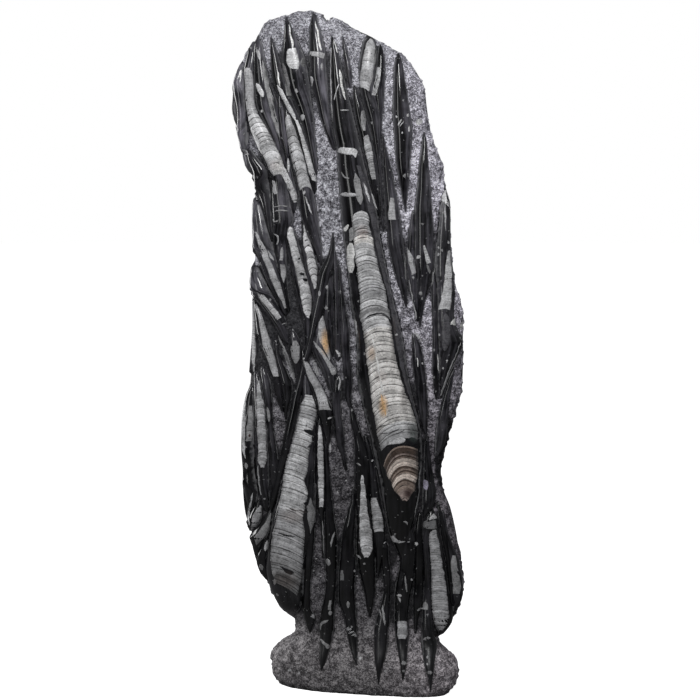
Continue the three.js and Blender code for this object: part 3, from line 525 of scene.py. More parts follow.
# Streaks: tone, width and the points along each, thinning to both ends
STREAKS = [
    ("pale", 5.5, [(-91, 804), (-82, 786), (-73, 769), (-66, 757)]),
    ("pale", 6, [(-118, 806), (-109, 788)]), ("grey", 4, [(-118, 850), (-113, 835)]),
    ("mid", 6, [(-110, 835), (-104, 800), (-97, 770), (-88, 735)]),
    ("grey", 6.5, [(-57, 845), (-40, 843), (-22, 839)]), ("grey", 3, [(-34, 832), (-33, 822)]),
    ("pale", 1.6, [(-24, 890), (-22, 840), (-22, 800), (-20, 750)]),
    # the white streaks on the next five lines are painted highlights, glints along the crests of the crown's
    # ribs
    ("white", 2.4, [(-76, 881), (-73, 866), (-70, 852)]),
    ("white", 2.6, [(-42, 885), (-38, 867), (-34, 847)]),
    ("white", 2.0, [(-91, 822), (-89, 810), (-87, 801)]),
    ("white", 2.0, [(-18, 862), (-15, 852), (-13, 845)]),
    ("white", 3.0, [(-10, 824), (-8, 808), (-3, 785)]), ("white", 2.4, [(-138, 823), (-143, 811)]),
    ("pale", 1.4, [(-10, 808), (-15, 796), (-18, 782)]), ("grey", 1.6, [(-9, 771), (2, 771)]),
    ("mid", 1.8, [(38, 850), (33, 822), (28, 795)]), ("pale", 2.2, [(64, 750), (71, 762)]),
    ("pale", 1.6, [(67, 748), (73, 758)]), ("pale", 2.5, [(79, 743), (80, 751)]),
    ("mid", 6, [(71, 687), (81, 688)]), ("pale", 3, [(21, 678), (25, 665), (29, 652)]),
    ("pale", 2, [(31, 664), (38, 643)]), ("pale", 9, [(-15, 720), (-2, 719), (9, 718), (10, 711)]),
    ("grey", 5, [(-10, 663), (12, 662)]), ("mid", 2, [(-8, 692), (-3, 684), (5, 683)]),
    ("mid", 9, [(10, 690), (14, 670), (17, 650)]), ("mid", 1.6, [(-98, 646), (-87, 648), (-76, 646)]),
    ("mid", 1.6, [(-98, 640), (-87, 642), (-77, 641)]), ("mid", 2, [(-99, 632), (-94, 627), (-90, 629)]),
    ("grey", 2, [(-97, 612), (-90, 606), (-94, 594)]), ("pale", 6, [(9, 499), (10, 478)]),
    ("grey", 1.4, [(-57, 625), (-56, 612)]), ("dim", 5, [(-86, 462), (-78, 443), (-70, 420)]),
    ("mid", 2.2, [(-92, 478), (-84, 462), (-76, 444)]),
    ("grey", 1.6, [(-84, 456), (-77, 436), (-69, 414)]), ("pale", 2, [(-56, 660), (-46, 636)]),
    ("pale", 2.2, [(-76, 496), (-71, 484)]),
    ("pale", 5, [(-123, 535), (-124, 500), (-124, 460), (-123, 426)]),
    ("grey", 5, [(-136, 410), (-138, 370), (-138, 330), (-136, 314)]),
    ("pale", 3, [(-13, 428), (-9, 418), (-12, 407)]), ("pale", 2.5, [(-27, 368), (-21, 370)]),
    ("grey", 3, [(-23, 336), (-23, 322)]), ("mid", 4, [(-106, 383), (-103, 363)]),
    ("mid", 5, [(-135, 309), (-134, 300)]),
    ("pale", 2.4, [(-126, 268), (-130, 250), (-132, 235), (-131, 222)]),
    ("grey", 2, [(-119, 305), (-118, 285), (-115, 262)]), ("pale", 4, [(-107, 205), (-110, 190)]),
    ("mid", 5, [(-117, 173), (-114, 165)]), ("mid", 5, [(-98, 165), (-98, 156)]),
    ("mid", 5, [(-97, 153), (-97, 145)]), ("mid", 1.6, [(-33, 235), (-32, 205), (-31, 180)]),
    ("mid", 2.6, [(-18, 218), (-23, 197)]), ("mid", 6, [(-27, 181), (-25, 172)]),
    ("pale", 2, [(-1, 242), (-4, 232)]), ("grey", 1.6, [(46, 200), (52, 207)]),
    ("grey", 2, [(74, 233), (78, 232), (79, 228)]), ("grey", 1.8, [(33, 308), (40, 302)]),
    ("grey", 1.5, [(41, 296), (44, 292)]), ("mid", 2.5, [(12, 310), (18, 306)]),
    ("mid", 2.5, [(11, 188), (18, 181)]), ("grey", 2.2, [(126, 650), (128, 616)]),
    # the white streak on the next line is a painted highlight, a glint on a rib
    ("white", 2.0, [(118, 455), (119, 444), (120, 430)]), ("pale", 1.5, [(127, 447), (133, 446)]),
    ("pale", 1.5, [(130, 448), (130, 440)]), ("mid", 5, [(93, 534), (98, 535)]),
    ("mid", 3.5, [(104, 573), (107, 560)]),
    # the white streak on the next line is a painted highlight, a glint down the largest shell
    ("white", 2.8, [(31, 484), (36, 460), (40, 438), (44, 416), (48, 394)]),
    ("mid", 3, [(46, 120), (48, 106), (50, 92)]), ("mid", 2, [(42, 118), (44, 105)]),
    ("grey", 4, [(66, 133), (72, 132)]), ("grey", 3, [(67, 131), (70, 124)]),
    ("mid", 2, [(76, 160), (79, 135)]), ("mid", 6, [(72, 41), (78, 41)]), ("mid", 4, [(72, 31), (76, 30)]),
    ("mid", 5, [(105, 29), (113, 29)]), ("mid", 5, [(100, 74), (110, 76)]),
    ("mid", 4, [(-25, 98), (-35, 93), (-38, 87), (-40, 80)]),
    # the white streaks on the next two lines are painted highlights: a glint on the largest shell, and one on
    # a rib
    ("mid", 3.5, [(-38, 74), (-30, 65), (-24, 62)]), ("white", 2.4, [(47, 400), (50, 386), (52, 370)]),
    ("mid", 2, [(-138, 737), (-132, 745)]), ("white", 1.8, [(91, 451), (92, 437)]),
    ("grey", 1.6, [(78, 561), (84, 530), (92, 492)]),
    ("grey", 1.3, [(150, 473), (139, 448), (128, 419), (117, 386)]),
    ("mid", 1.6, [(146, 456), (133, 428), (122, 398)]), ("mid", 1.2, [(150, 462), (138, 433), (126, 404)]),
    ("layer", 11, [(128, 508), (129, 485), (127, 460)]),
    ("white", 6.5, [(135, 494), (142, 500), (149, 508)]),
    ("amber", 3.0, [(44, 402), (47, 388), (51, 372)]),
    ("black", 3.2, [(22, 500), (32, 506), (43, 508), (53, 502), (59, 490)]),
    ("dark", 1.5, [(41, 349), (51, 350), (60, 352), (68, 356)]),
    ("dark", 1.5, [(60, 348), (68, 351), (77, 356)]),
    ("dark", 1.4, [(39, 356), (45, 359), (54, 362), (62, 363)]),
    ("mid", 3.2, [(77, 597), (76, 572), (78, 541)]),
    ("mid", 3.0, [(115, 613), (114, 587), (112, 565), (108, 535)]),
    ("mid", 1.6, [(98, 311), (95, 295), (94, 268), (88, 240)]),
    ("black", 1.8, [(-80, 249), (-66, 245), (-54, 245)]),
    ("black", 2.4, [(18, 611), (23, 614), (30, 612)]),
]

# Round spots: tone, middle, and half width and half height
SPOTS = [
    ("dim", -57, 833, 4, 6), ("grey", -59, 762, 3.5, 4), ("grey", -67, 796, 2.5, 3),
    ("grey", -47, 808, 3, 7), ("pale", -112, 771, 1.5, 2), ("pale", 63, 763, 1.2, 1.8),
    ("pale", 71, 742, 1.2, 1.5), ("pale", 78, 765, 1.5, 2), ("grey", -57, 665, 2, 3),
    ("grey", -37, 534, 2, 3.5), ("grey", -27, 542, 1.6, 2.5), ("grey", -28, 515, 2.5, 2.5),
    ("pale", -97, 507, 1.6, 1.6), ("pale", -94, 502, 1.4, 1.4), ("pale", -17, 432, 2, 2),
    ("grey", -103, 455, 2.8, 3.2), ("rust", -130, 345, 1.6, 2), ("grey", 39, 235, 1.2, 1.2),
    ("grey", 40, 228, 1.2, 1.2), ("pale", 91, 203, 2.4, 2.4), ("grey", 33, 313, 1.5, 1.5),
    ("pale", 98, 443, 1.4, 1.4), ("grey", 125, 437, 1.5, 1.5), ("pale", 120, 480, 1.6, 2),
    ("pale", 64, 480, 1.6, 1.8), ("grey", 118, 594, 1.6, 2), ("grey", 118, 585, 1.6, 2),
    ("pale", 131, 601, 1.6, 2), ("grey", 86, 555, 1.5, 2), ("mid", -23, 108, 2.5, 3),
    ("mid", -27, 62, 3.4, 3.4), ("mid", 1, 120, 2.4, 5), ("grey", 9, 165, 1.6, 1.6),
    ("grey", 12, 158, 1.6, 1.6), ("grey", 85, 155, 1.5, 1.5), ("grey", 106, 50, 1.5, 1.5),
    ("grey", 106, 41, 1.5, 1.5), ("pale", -78, 29, 2.5, 1.8), ("pale", -65, 25, 1.8, 1.6),
    ("pale", 17, 47, 2.2, 1.8), ("grey", 50, 30, 2, 1.6),
]

# Broken gaps in the shells, filled with black stone
GAPS = [
    [(-67, 581), (-62, 581), (-61, 577), (-65, 578)], [(-67, 576), (-62, 575), (-65, 573)],
    [(-65, 561), (-59, 561), (-56, 557), (-61, 556)], [(-59, 553), (-53, 554), (-52, 549), (-57, 549)],
    [(-57, 605), (-51, 604), (-54, 601)], [(-54, 598), (-49, 597), (-51, 594)],
    [(-60, 354), (-54, 354), (-43, 352), (-44, 345), (-51, 347)],
    [(-93, 171), (-84, 168), (-71, 161), (-73, 159), (-86, 165)],
    [(-95, 216), (-82, 213), (-68, 210), (-81, 210)],
    [(-60, 257), (-52, 257), (-55, 249), (-52, 243), (-60, 242), (-56, 250)],
    [(-47, 336), (-50, 328), (-54, 330)],
    [(75, 336), (77, 342), (80, 345), (85, 345), (92, 340), (91, 333)],
    [(-87, 165), (-80, 163), (-72, 158), (-80, 160)], [(-55, 361), (-52, 360), (-53, 357), (-56, 358)],
]

# Soft stains in the shells: tone, middle, half width and half height, and how strong
STAINS = [
    ("amber", -29, 470, 7, 20, 1.0), ("amber", 47, 386, 7, 17, 1.0), ("brown", 41, 388, 5, 9, 0.5),
    ("rose", 30, 455, 9, 14, 0.45), ("rose", 19, 613, 10, 12, 0.5), ("dim", 33, 534, 16, 7, 0.6),
    ("moss", 87, 352, 9, 16, 0.75), ("amber", 32, 455, 6, 12, 0.35), ("brown", 22, 470, 5, 26, 0.35),
    ("brown", 60, 470, 5, 40, 0.45), ("rose", 44, 424, 10, 10, 0.35), ("dim", 25, 562, 14, 5, 0.45),
    ("brown", 74, 400, 6, 26, 0.45), ("bright", 62, 410, 8, 26, 0.4), ("dim", 47, 506, 12, 6, 0.5),
    ("brown", 42, 350, 6, 16, 0.4), ("dim", -50, 322, 7, 16, 0.4), ("dim", -60, 300, 10, 12, 0.5),
    ("rose", -72, 238, 20, 12, 0.35), ("dim", -98, 190, 6, 40, 0.35), ("brown", -84, 150, 22, 16, 0.6),
    ("rose", -96, 700, 9, 9, 0.3), ("dim", -104, 730, 8, 12, 0.3), ("dim", -74, 744, 6, 10, 0.55),
    ("dim", -60, 700, 5, 20, 0.35), ("dim", -128, 800, 5, 30, 0.3), ("bright", -88, 700, 8, 18, 0.5),
    ("dim", -50, 520, 8, 12, 0.5), ("dim", -66, 560, 7, 14, 0.4), ("rust", 80, 270, 8, 9, 1.0),
    ("brown", 84, 324, 9, 7, 0.7), ("dim", 24, 230, 8, 26, 0.3), ("dim", 122, 140, 8, 34, 0.35),
]

# ---- Lines of sight: the tables are drawn on the upright plane at DRAWN_DEPTH, as the camera sees it
CAMERA_REACH = CAMERA_DISTANCE / MM
CAMERA_X = CAMERA_REACH * math.sin(math.radians(CAMERA_TURN))
CAMERA_Y = -CAMERA_REACH * math.cos(math.radians(CAMERA_TURN))
CAMERA_Z = CAMERA_AIM + CAMERA_REACH * math.sin(math.radians(CAMERA_LIFT))


def sight(x):
    """How far a line of sight through x of the drawing runs sideways for each millimetre it runs back."""
    return (x - CAMERA_X) / (DRAWN_DEPTH - CAMERA_Y)


def fall(z):
    """And how far it runs up."""
    return (z - CAMERA_Z) / (DRAWN_DEPTH - CAMERA_Y)


def on_foot(z):
    """The height on the foot, which stands further forward than the drawing, of what is drawn at z."""
    forward = np.interp(z, HEIGHTS, BLOCK_AT[2]) + RIB_STAND + DRAWN_DEPTH
    return z - max(0.0, forward) * fall(z)


# ---- The ground: plan outlines of the block at any height


def eased(knots, values, at):
    """Values at places between the knots, on a smooth curve that never overshoots them."""
    knots, values, at = (np.asarray(a, float) for a in (knots, values, at))
    step = np.diff(knots)
    slope = np.diff(values) / step
    lean = np.zeros_like(values)
    lean[0], lean[-1] = slope[0], slope[-1]
    same = slope[1:] * slope[:-1] > 0
    lean[1:-1][same] = (2 * slope[1:] * slope[:-1])[same] / (slope[1:] + slope[:-1])[same]
    i = np.clip(np.searchsorted(knots, at, "right") - 1, 0, len(knots) - 2)
    t = np.clip((at - knots[i]) / step[i], 0, 1)
    start = values[i] * (1 + 2 * t) * (1 - t) ** 2 + lean[i] * step[i] * t * (1 - t) ** 2
    end = values[i + 1] * t * t * (3 - 2 * t) - lean[i + 1] * step[i] * t * t * (1 - t)
    return start + end


TOP = BLOCK[-1][0]
HEIGHTS = np.arange(0, TOP + 1)
BLOCK_AT = [eased([row[0] for row in BLOCK], [row[i] for row in BLOCK], HEIGHTS) for i in range(1, 6)]
OUTLINE_AT = BLOCK_AT[:2]
BLOCK_AT[0] = BLOCK_AT[0] + LEFT_INSET * np.interp(HEIGHTS, INSET_HEIGHTS, [0, 1, 1, 0])
ANGLES = np.linspace(0, 2 * math.pi, OUTLINE_POINTS + 1)


class Section:
    """The ground's plan outline at height z, measured by the distance round it from its right side:
    first along the back to the left side, then along the front to the right side again."""

    def __init__(self, z):
        left, right, front, back, turn = (np.interp(z, HEIGHTS, column) for column in BLOCK_AT)
        self.middle, self.half = (left + right) / 2, (right - left) / 2
        cos, sin = np.cos(ANGLES), np.sin(ANGLES)
        across = self.half * np.sign(cos) * np.abs(cos) ** (2 / CORNER_POWER)
        depth = np.where(sin < 0, front, back) * np.sign(sin) * np.abs(sin) ** (2 / CORNER_POWER)
        self.x = self.middle + across
        self.y = depth - across * math.tan(math.radians(turn))
        self.round = np.concatenate([[0], np.cumsum(np.hypot(np.diff(self.x), np.diff(self.y)))])
        self.length = self.round[-1]
        self.left_corner = np.interp(math.pi, ANGLES, self.round)

    def points(self, distance):
        return np.array([np.interp(distance, self.round, values, period=self.length)
                         for values in (self.x, self.y)])

    def at(self, distance):
        """The outline's points at these distances round, and its outward directions there."""
        near = 1.5
        along = self.points(distance + near) - self.points(distance - near)
        along /= np.maximum(np.hypot(*along), 1e-9)
        return self.points(distance), np.array([along[1], -along[0]])

    def front(self, x):
        """The distance round to the front's point that is seen at x of the drawing."""
        depth = self.points(self.distance(x))[1]
        return self.distance(x + (depth - DRAWN_DEPTH) * sight(x))

    def distance(self, x):
        """The distance round to the front's point at x. Past the sides it runs on round the corner."""
        across = (x - self.middle) / self.half
        if across < -1:
            return self.left_corner - (-1 - across) * self.half
        if across > 1:
            return self.length + (across - 1) * self.half
        angle = 2 * math.pi - math.acos(math.copysign(abs(across) ** (CORNER_POWER / 2), across))
        return np.interp(angle, ANGLES, self.round)


# ---- Meshes. What they carry for the finishes: "flow", places across and along a rib or shell; "rib", the
# rib's number, 0 on the ground; and "rim", 0 down the middle of a rib or shell to 1 at its edges, and
# on the ground 0 where the tool did not reach and in narrow gaps between ribs, where it gives painted shade,
# to 1 elsewhere.


class Shape:
    """A mesh in the making: its vertices in drawing millimetres, its faces, and what they carry."""

    def __init__(self):
        self.points, self.faces, self.flow, self.rim = [], [], [], []

    def add_ring(self, points, flow, rim):
        first = len(self.points)
        self.points.extend(points)
        self.flow.extend(flow)
        self.rim.extend(rim)
        return list(range(first, len(self.points)))

    def close(self, rings):
        """Joins rising rings into one closed skin with flat ends."""
        for lower, upper in zip(rings, rings[1:]):
            for i, _ in enumerate(lower):
                j = (i + 1) % len(lower)
                self.faces.append((lower[i], lower[j], upper[j], upper[i]))
        self.faces += [tuple(reversed(rings[0])), tuple(rings[-1])]


SOLID_LOW, SOLID_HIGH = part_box("fossil_plate")
DRAWN_ORIGIN = np.array([(SOLID_LOW.x + SOLID_HIGH.x) / 2, (SOLID_LOW.y + SOLID_HIGH.y) / 2, SOLID_LOW.z])
DRAWN_ORIGIN -= np.array([*DRAWN_MIDDLE, 0]) * MM


def drawn_to_model(points):
    """Drawing millimetres to the model's metres: the drawing's middle goes to the middle of the solid."""
    return np.asarray(points, float) * MM + DRAWN_ORIGIN


def add_object(name, data):
    obj = bpy.data.objects.new(name, data)
    bpy.context.scene.collection.objects.link(obj)
    return obj


def read(items, what, kind=np.int32, each=1):
    """What a mesh's points, edges, corners or faces hold, as an array."""
    values = np.empty(len(items) * each, kind)
    items.foreach_get(what, values)
    return values


def carry(mesh, name, values, kind="FLOAT", domain="POINT"):
    field = "color" if kind == "FLOAT_COLOR" else "value"
    values = np.array(values, np.int32 if kind == "INT" else np.float32)
    mesh.attributes.new(name, kind, domain).data.foreach_set(field, values.ravel())


def carry_flow(mesh, flow):
    by_corner = np.array(flow, np.float32)[read(mesh.loops, "vertex_index")]
    mesh.uv_layers.new(name="flow").data.foreach_set("uv", by_corner.ravel())


def make_mesh(name, shape, material, rib=0):
    mesh = bpy.data.meshes.new(name)
    mesh.from_pydata(drawn_to_model(shape.points).tolist(), [], shape.faces)
    mesh.materials.append(material)
    carry(mesh, "rib", [rib] * len(mesh.polygons), "INT", "FACE")
    carry(mesh, "rim", shape.rim)
    carry_flow(mesh, shape.flow)
    mesh.update()
    return add_object(name, mesh)


def rough(x, y, z, size, seed=0.0):
    return noise.noise(Vector((x / size + seed, y / size - seed, z / size)))


def roughness(layers, x, y, z):
    return sum(high * rough(x, y, z, size, seed) for high, size, seed in layers)


def pecked_depth(x, y, z, edge):
    """How far the pecked ground stands off its smooth shape: tool marks on lumps on long swells,
    and where it faces the side or up (edge 1), pieces broken out."""
    smooth = roughness(TOOL_MARKS, x, y, z) + roughness(LUMPS, x, y, z)
    return smooth + EDGE_BREAKS * edge * roughness(BREAKS, x, y, z)


def openness(z, x):
    """How wide the gap between the front's ribs is at height z, at each x: 0 narrow, 1 wide."""
    before, after = np.full(len(x), -np.inf), np.full(len(x), np.inf)
    for cuts in RIBS:
        if not cuts[-1][0] <= z <= cuts[0][0]:
            continue
        heights, lefts, rights = zip(*cuts[::-1])
        left, right = np.interp(z, heights, lefts), np.interp(z, heights, rights)
        middle = (left + right) / 2
        before = np.where(x >= middle, np.maximum(before, right), before)
        after = np.where(x < middle, np.minimum(after, left), after)
    gap = np.minimum(after - before, GAP_WIDE * 2)
    opened = np.clip((gap - GAP_NARROW) / (GAP_WIDE - GAP_NARROW), 0, 1)
    for middle_x, middle_z, half_width, half_height in UNREACHED:
        away = np.hypot((x - middle_x) / half_width, (z - middle_z) / half_height)
        opened = opened * np.clip((away - UNREACHED_START) / UNREACHED_FADE, 0, 1)
    return opened


def smooth_row(z):
    """The ground's points at height z before it is pecked, first the back's and then the front's."""
    section = Section(z)
    back = np.linspace(0, section.left_corner, CELLS_BACK + 1)
    front = np.linspace(section.left_corner, section.length, CELLS_FRONT + 1)
    (x, y), _ = section.at(np.concatenate([back[:-1], front[:-1]]))
    return np.stack([x, y, np.full(len(x), z)], 1)


def pecked_grid(levels):
    """The ground's points, row by row, moved outwards or inwards by the tools."""
    grid = np.array([smooth_row(z) for z in levels])
    up = np.gradient(grid, axis=0)
    around = np.roll(grid, -1, 1) - np.roll(grid, 1, 1)
    outward = np.cross(around, up)
    outward /= np.maximum(np.linalg.norm(outward, axis=2, keepdims=True), 1e-9)
    outward[0] = outward[0] * [1, 1, 0]
    for spot in np.ndindex(grid.shape[:2]):
        edge = 1 - abs(outward[spot][1])
        grid[spot] += outward[spot] * pecked_depth(*grid[spot], edge)
    grid[0, :, 2] = 0
    return grid


def ground_shape():
    """The pecked block. Every second row has no points inside the back, where the cells are twice as
    tall, so the cells next to the front have a fifth corner."""
    shape = Shape()
    rows = int(TOP / CELL / 2) * 2
    levels = [TOP * row / rows for row in range(rows + 1)]
    grid = pecked_grid(levels)
    columns = grid.shape[1]
    opened = np.ones(grid.shape[:2])
    for row, z in enumerate(levels):
        opened[row, CELLS_BACK:] = openness(z, grid[row, CELLS_BACK:, 0])
    index = -np.ones(grid.shape[:2], int)
    for row, column in np.ndindex(index.shape):
        if row % 2 and 0 < column < CELLS_BACK:
            continue
        index[row, column] = len(shape.points)
        shape.points.append(grid[row, column])
        shape.rim.append(opened[row, column])
    shape.flow = [(0.0, 0.0)] * len(shape.points)
    for row in range(rows):
        for column in range(CELLS_BACK, columns):
            right = (column + 1) % columns
            shape.faces.append((index[row, column], index[row, right],
                                index[row + 1, right], index[row + 1, column]))
    for row in range(0, rows, 2):
        for column in range(CELLS_BACK):
            corners = [index[row, column], index[row, column + 1]]
            if column + 1 == CELLS_BACK:
                corners.append(index[row + 1, column + 1])
            corners += [index[row + 2, column + 1], index[row + 2, column]]
            if column == 0:
                corners.append(index[row + 1, column])
            shape.faces.append(tuple(corners))
    shape.faces += [tuple(index[0, ::-1]), tuple(index[rows, :])]
    return shape


def within_outline(x, z):
    """Holds a rib's sides close to the stone's outline, so that those on its edges lie flatter."""
    left, right = (np.interp(z, HEIGHTS, side) for side in OUTLINE_AT)
    x = np.where(x < left, left - (left - x) * OUTLINE_GIVE, x)
    return np.where(x > right, right + (x - right) * OUTLINE_GIVE, x)


PROFILE = np.sin(np.linspace(-math.pi / 2, math.pi / 2, RIB_POINTS))
UNDERSIDE = [(1.0, -2.2), (0.55, -6.0), (-0.55, -6.0), (-1.0, -2.2)]    # across, and depth in the ground
ACROSS = np.concatenate([PROFILE, [t for t, _ in UNDERSIDE]])
RIM = np.concatenate([np.abs(PROFILE), [1.0] * len(UNDERSIDE)])


def rib_heights(z, width, left):
    """How high each point round a rib's section stands off the ground."""
    full = min(1, width / RIB_NARROW)
    rise = min(RIB_RISE * (width / RIB_WIDTH) ** RIB_RISE_POWER, RIB_RISE_MOST)
    flat, steep = RIB_ROUND
    standing = rise * (1 - np.abs(PROFILE) ** flat) ** steep
    swell = [RIB_SWELL * rough(left + width * share, rise, z, SWELL_SIZE, width) for share in (0.3, 0.6)]
    standing = standing + np.interp(PROFILE, [-1, -0.3, 0.3, 1], [0, *swell, 0]) * full
    height = np.concatenate([standing, [depth * full for _, depth in UNDERSIDE]])
    height[[0, RIB_POINTS - 1]] = -RIB_SEAM
    return height


def rib_shape(heights, lefts, rights):
    """A rounded rib from rising rows: heights, and where its edges are, as distances round the ground."""
    shape = Shape()
    rings = []
    for z, left, right in zip(heights, lefts, rights):
        width = right - left
        height = rib_heights(z, width, left)
        (x, y), (out_x, out_y) = Section(z).at(left + width * (ACROSS + 1) / 2)
        x, y = within_outline(x + out_x * height, z), y + out_y * height
        points = np.stack([x, y, np.full(len(x), z)], 1)
        rings.append(shape.add_ring(points, [(t * width / 2, z) for t in ACROSS], RIM))
    shape.close(rings)
    return shape


def rib_from_cuts(cuts):
    """A front rib from its level cuts: height, left edge, right edge, from its upper tip down."""
    cuts = [(on_foot(height), left, right) for height, left, right in reversed(cuts)]
    ends = []
    for (z, left, right), (z_in, left_in, right_in), way in ((cuts[0], cuts[1], -1), (cuts[-1], cuts[-2], 1)):
        reach = RIB_TIP * max(right - left, TIP_WIDTH_LEAST) * way
        drift = ((left + right) - (left_in + right_in)) / 2 / (z - z_in)
        middle = (left + right) / 2 + drift * reach
        ends.append((z + reach, middle - TIP_HALF, middle + TIP_HALF))
    z, *sides = (np.array(values, float) for values in zip(ends[0], *cuts, ends[1]))
    heights = [z[0]]
    for low, high in zip(z, z[1:]):
        steps = max(1, math.ceil((high - low) / RIB_STEP))
        heights.extend(low + (high - low) * (i + 1) / steps for i in range(steps))
    heights = np.unique(np.clip(heights, RIB_LOWEST, TOP - TOP_CLEAR))
    sections = [Section(h) for h in heights]
    edges = [[s.front(x) for s, x in zip(sections, eased(z, side, heights))] for side in sides]
    return rib_shape(heights, *edges)


def rear_ribs():
    """The back's ribs: middle in degrees round, middle height, length, width and lean in degrees.
    The broad ones are where the solid has them, and slim ones fill the columns between them."""
    ribs = []
    for column, degrees in enumerate(REAR_COLUMNS):
        lift, lean = (REAR_STAGGER, REAR_LEAN) if column % 2 else (0, -REAR_LEAN)
        ribs += [(degrees, row + lift, REAR_LENGTH, REAR_WIDTH, lean) for row in REAR_ROWS]
    chance = random.Random(12)
    for degrees in SLIM_COLUMNS:
        z = chance.uniform(*SLIM_START)
        while z < SLIM_TOP:
            length = chance.uniform(*SLIM_LENGTH)
            lean = chance.uniform(-SLIM_LEAN, SLIM_LEAN)
            ribs.append((degrees, z + length / 2, length, chance.uniform(*SLIM_WIDTH), lean))
            z += length * SLIM_SPACING
    return ribs


def rear_rib(degrees, middle, length, width, lean):
    """One rib of the back, widest a little under its middle."""
    along = np.linspace(0, 1, math.ceil(length / RIB_STEP) + 1)
    heights = np.clip(middle + length * (along - 0.5), RIB_LOWEST, TOP - REAR_TOP_CLEAR)
    keep = np.concatenate([[True], np.diff(heights) > ROWS_APART])
    along, heights = along[keep], heights[keep]
    lefts, rights = [], []
    for share, z, wide in zip(along, heights, width * eased(*REAR_PROFILE, along)):
        angle = math.radians(degrees + lean * (share - 0.5))
        wander = REAR_WANDER * rough(middle, degrees, z, WANDER_SIZE)
        centre = np.interp(angle, ANGLES, Section(z).round) + wander
        lefts.append(centre - wide / 2)
        rights.append(centre + wide / 2)
    return rib_shape(heights, lefts, rights)


def notch_shape():
    """The chip broken out of the crown: a rough ball that is cut away."""
    shape = Shape()
    rings = []
    for row in range(1, NOTCH_ROWS):
        lift = math.pi * row / NOTCH_ROWS
        ring = []
        for i in range(NOTCH_ROUND):
            turn = 2 * math.pi * i / NOTCH_ROUND
            flat = math.sin(lift)
            unit = np.array([flat * math.cos(turn), flat * math.sin(turn), -math.cos(lift)])
            unit = unit * (1 + NOTCH_ROUGH * rough(*(unit * NOTCH_SPREAD), NOTCH_LUMP))
            ring.append(np.array(NOTCH_MIDDLE) + unit * NOTCH_SIZE)
        rings.append(shape.add_ring(ring, [(0.0, 0.0)] * NOTCH_ROUND, [1.0] * NOTCH_ROUND))
    shape.close(rings)
    return shape


# ---- Shading: short calls for node trees, and the effects that several finishes share


class Tree:
    """A node tree with short calls: each adds one node or a few and gives back the last one's output."""

    def __init__(self, tree):
        self.nodes, self.links = tree.nodes, tree.links

    def put(self, kind, **settings):
        node = self.nodes.new(kind if kind.startswith("NodeGroup") else f"ShaderNode{kind}")
        for name, value in settings.items():
            setattr(node, name, value)
        return node

    def plug(self, socket, value):
        """Links a socket to another node's output, or sets it. Colours are red, green and blue."""
        if isinstance(value, bpy.types.NodeSocket):
            self.links.new(value, socket)
        elif socket.type == "RGBA":
            socket.default_value = (*value, 1)
        else:
            socket.default_value = value

    def fill(self, node, *values):
        """Plugs a node's inputs in their order."""
        for socket, value in zip(node.inputs, values):
            self.plug(socket, value)
        return node

    def wire(self, node, **given):
        """Plugs a node's inputs by their names."""
        for name, value in given.items():
            self.plug(node.inputs[name.replace("_", " ")], value)
        return node

    def math(self, operation, *values, clamp=False):
        return self.fill(self.put("Math", operation=operation, use_clamp=clamp), *values).outputs[0]

    def times(self, a, b):
        return self.math("MULTIPLY", a, b)

    def total(self, first, *others):
        for other in others:
            first = self.math("ADD", first, other)
        return first

    def sway(self, value, most):
        """A value from 0 to 1, turned into a swing to both sides of zero."""
        return self.times(self.math("SUBTRACT", value, 0.5), most)

    def mix(self, share, a, b, blend="MIX"):
        node = self.put("Mix", data_type="RGBA", blend_type=blend)
        for socket, value in zip((node.inputs[0], node.inputs[6], node.inputs[7]), (share, a, b)):
            self.plug(socket, value)
        return node.outputs[2]

    def span(self, value, low, high, out_low=0.0, out_high=1.0):
        """A value from low to high, stretched to run from out_low to out_high and held at both ends."""
        node = self.put("MapRange", clamp=True)
        self.wire(node, Value=value, From_Min=low, From_Max=high, To_Min=out_low, To_Max=out_high)
        return node.outputs[0]

    def ramp(self, value, stops):
        """A colour by value, from stops in rising order: place, and red, green and blue."""
        node = self.fill(self.put("ValToRGB"), value)
        held = node.color_ramp.elements
        for stop, (at, colour) in zip(held, (stops[0], stops[-1])):
            stop.position, stop.color = at, (*colour, 1)
        for at, colour in stops[1:-1]:
            held.new(at).color = (*colour, 1)
        return node.outputs[0]

    def grey(self, value):
        """A colour with this value in each of its channels."""
        return self.fill(self.put("CombineColor"), value, value, value).outputs[0]

    def noise(self, where, scale, detail=2.0, roughness=0.5, output="Fac"):
        node = self.put("TexNoise")
        return self.wire(node, Vector=where, Scale=scale, Detail=detail, Roughness=roughness).outputs[output]

    def cells(self, where, scale, output="Color"):
        return self.wire(self.put("TexVoronoi"), Vector=where, Scale=scale).outputs[output]

    def stretch(self, where, scale):
        return self.wire(self.put("Mapping"), Vector=where, Scale=scale).outputs[0]

    def shift(self, where, by):
        return self.fill(self.put("VectorMath", operation="ADD"), where, by).outputs[0]

    def axes(self, where):
        return self.fill(self.put("SeparateXYZ"), where).outputs

    def channel(self, colour, index=0):
        return self.fill(self.put("SeparateColor"), colour).outputs[index]

    def carried(self, name, output="Fac"):
        return self.put("Attribute", attribute_name=name).outputs[output]

    def place(self):
        return self.put("TexCoord").outputs["Object"]

    def flow(self):
        return self.put("UVMap", uv_map="flow").outputs[0]

    def relief(self, height, strength, distance):
        return self.wire(self.put("Bump"), Height=height, Strength=strength, Distance=distance).outputs[0]

    def by_eye(self, seen, unseen):
        """One shader where the eye sees it directly, and another where it lights or shows in the stone."""
        direct = self.put("LightPath").outputs["Is Camera Ray"]
        return self.fill(self.put("MixShader"), direct, unseen, seen).outputs[0]

    def use(self, group, **given):
        return self.wire(self.put("Group", node_tree=group), **given).outputs


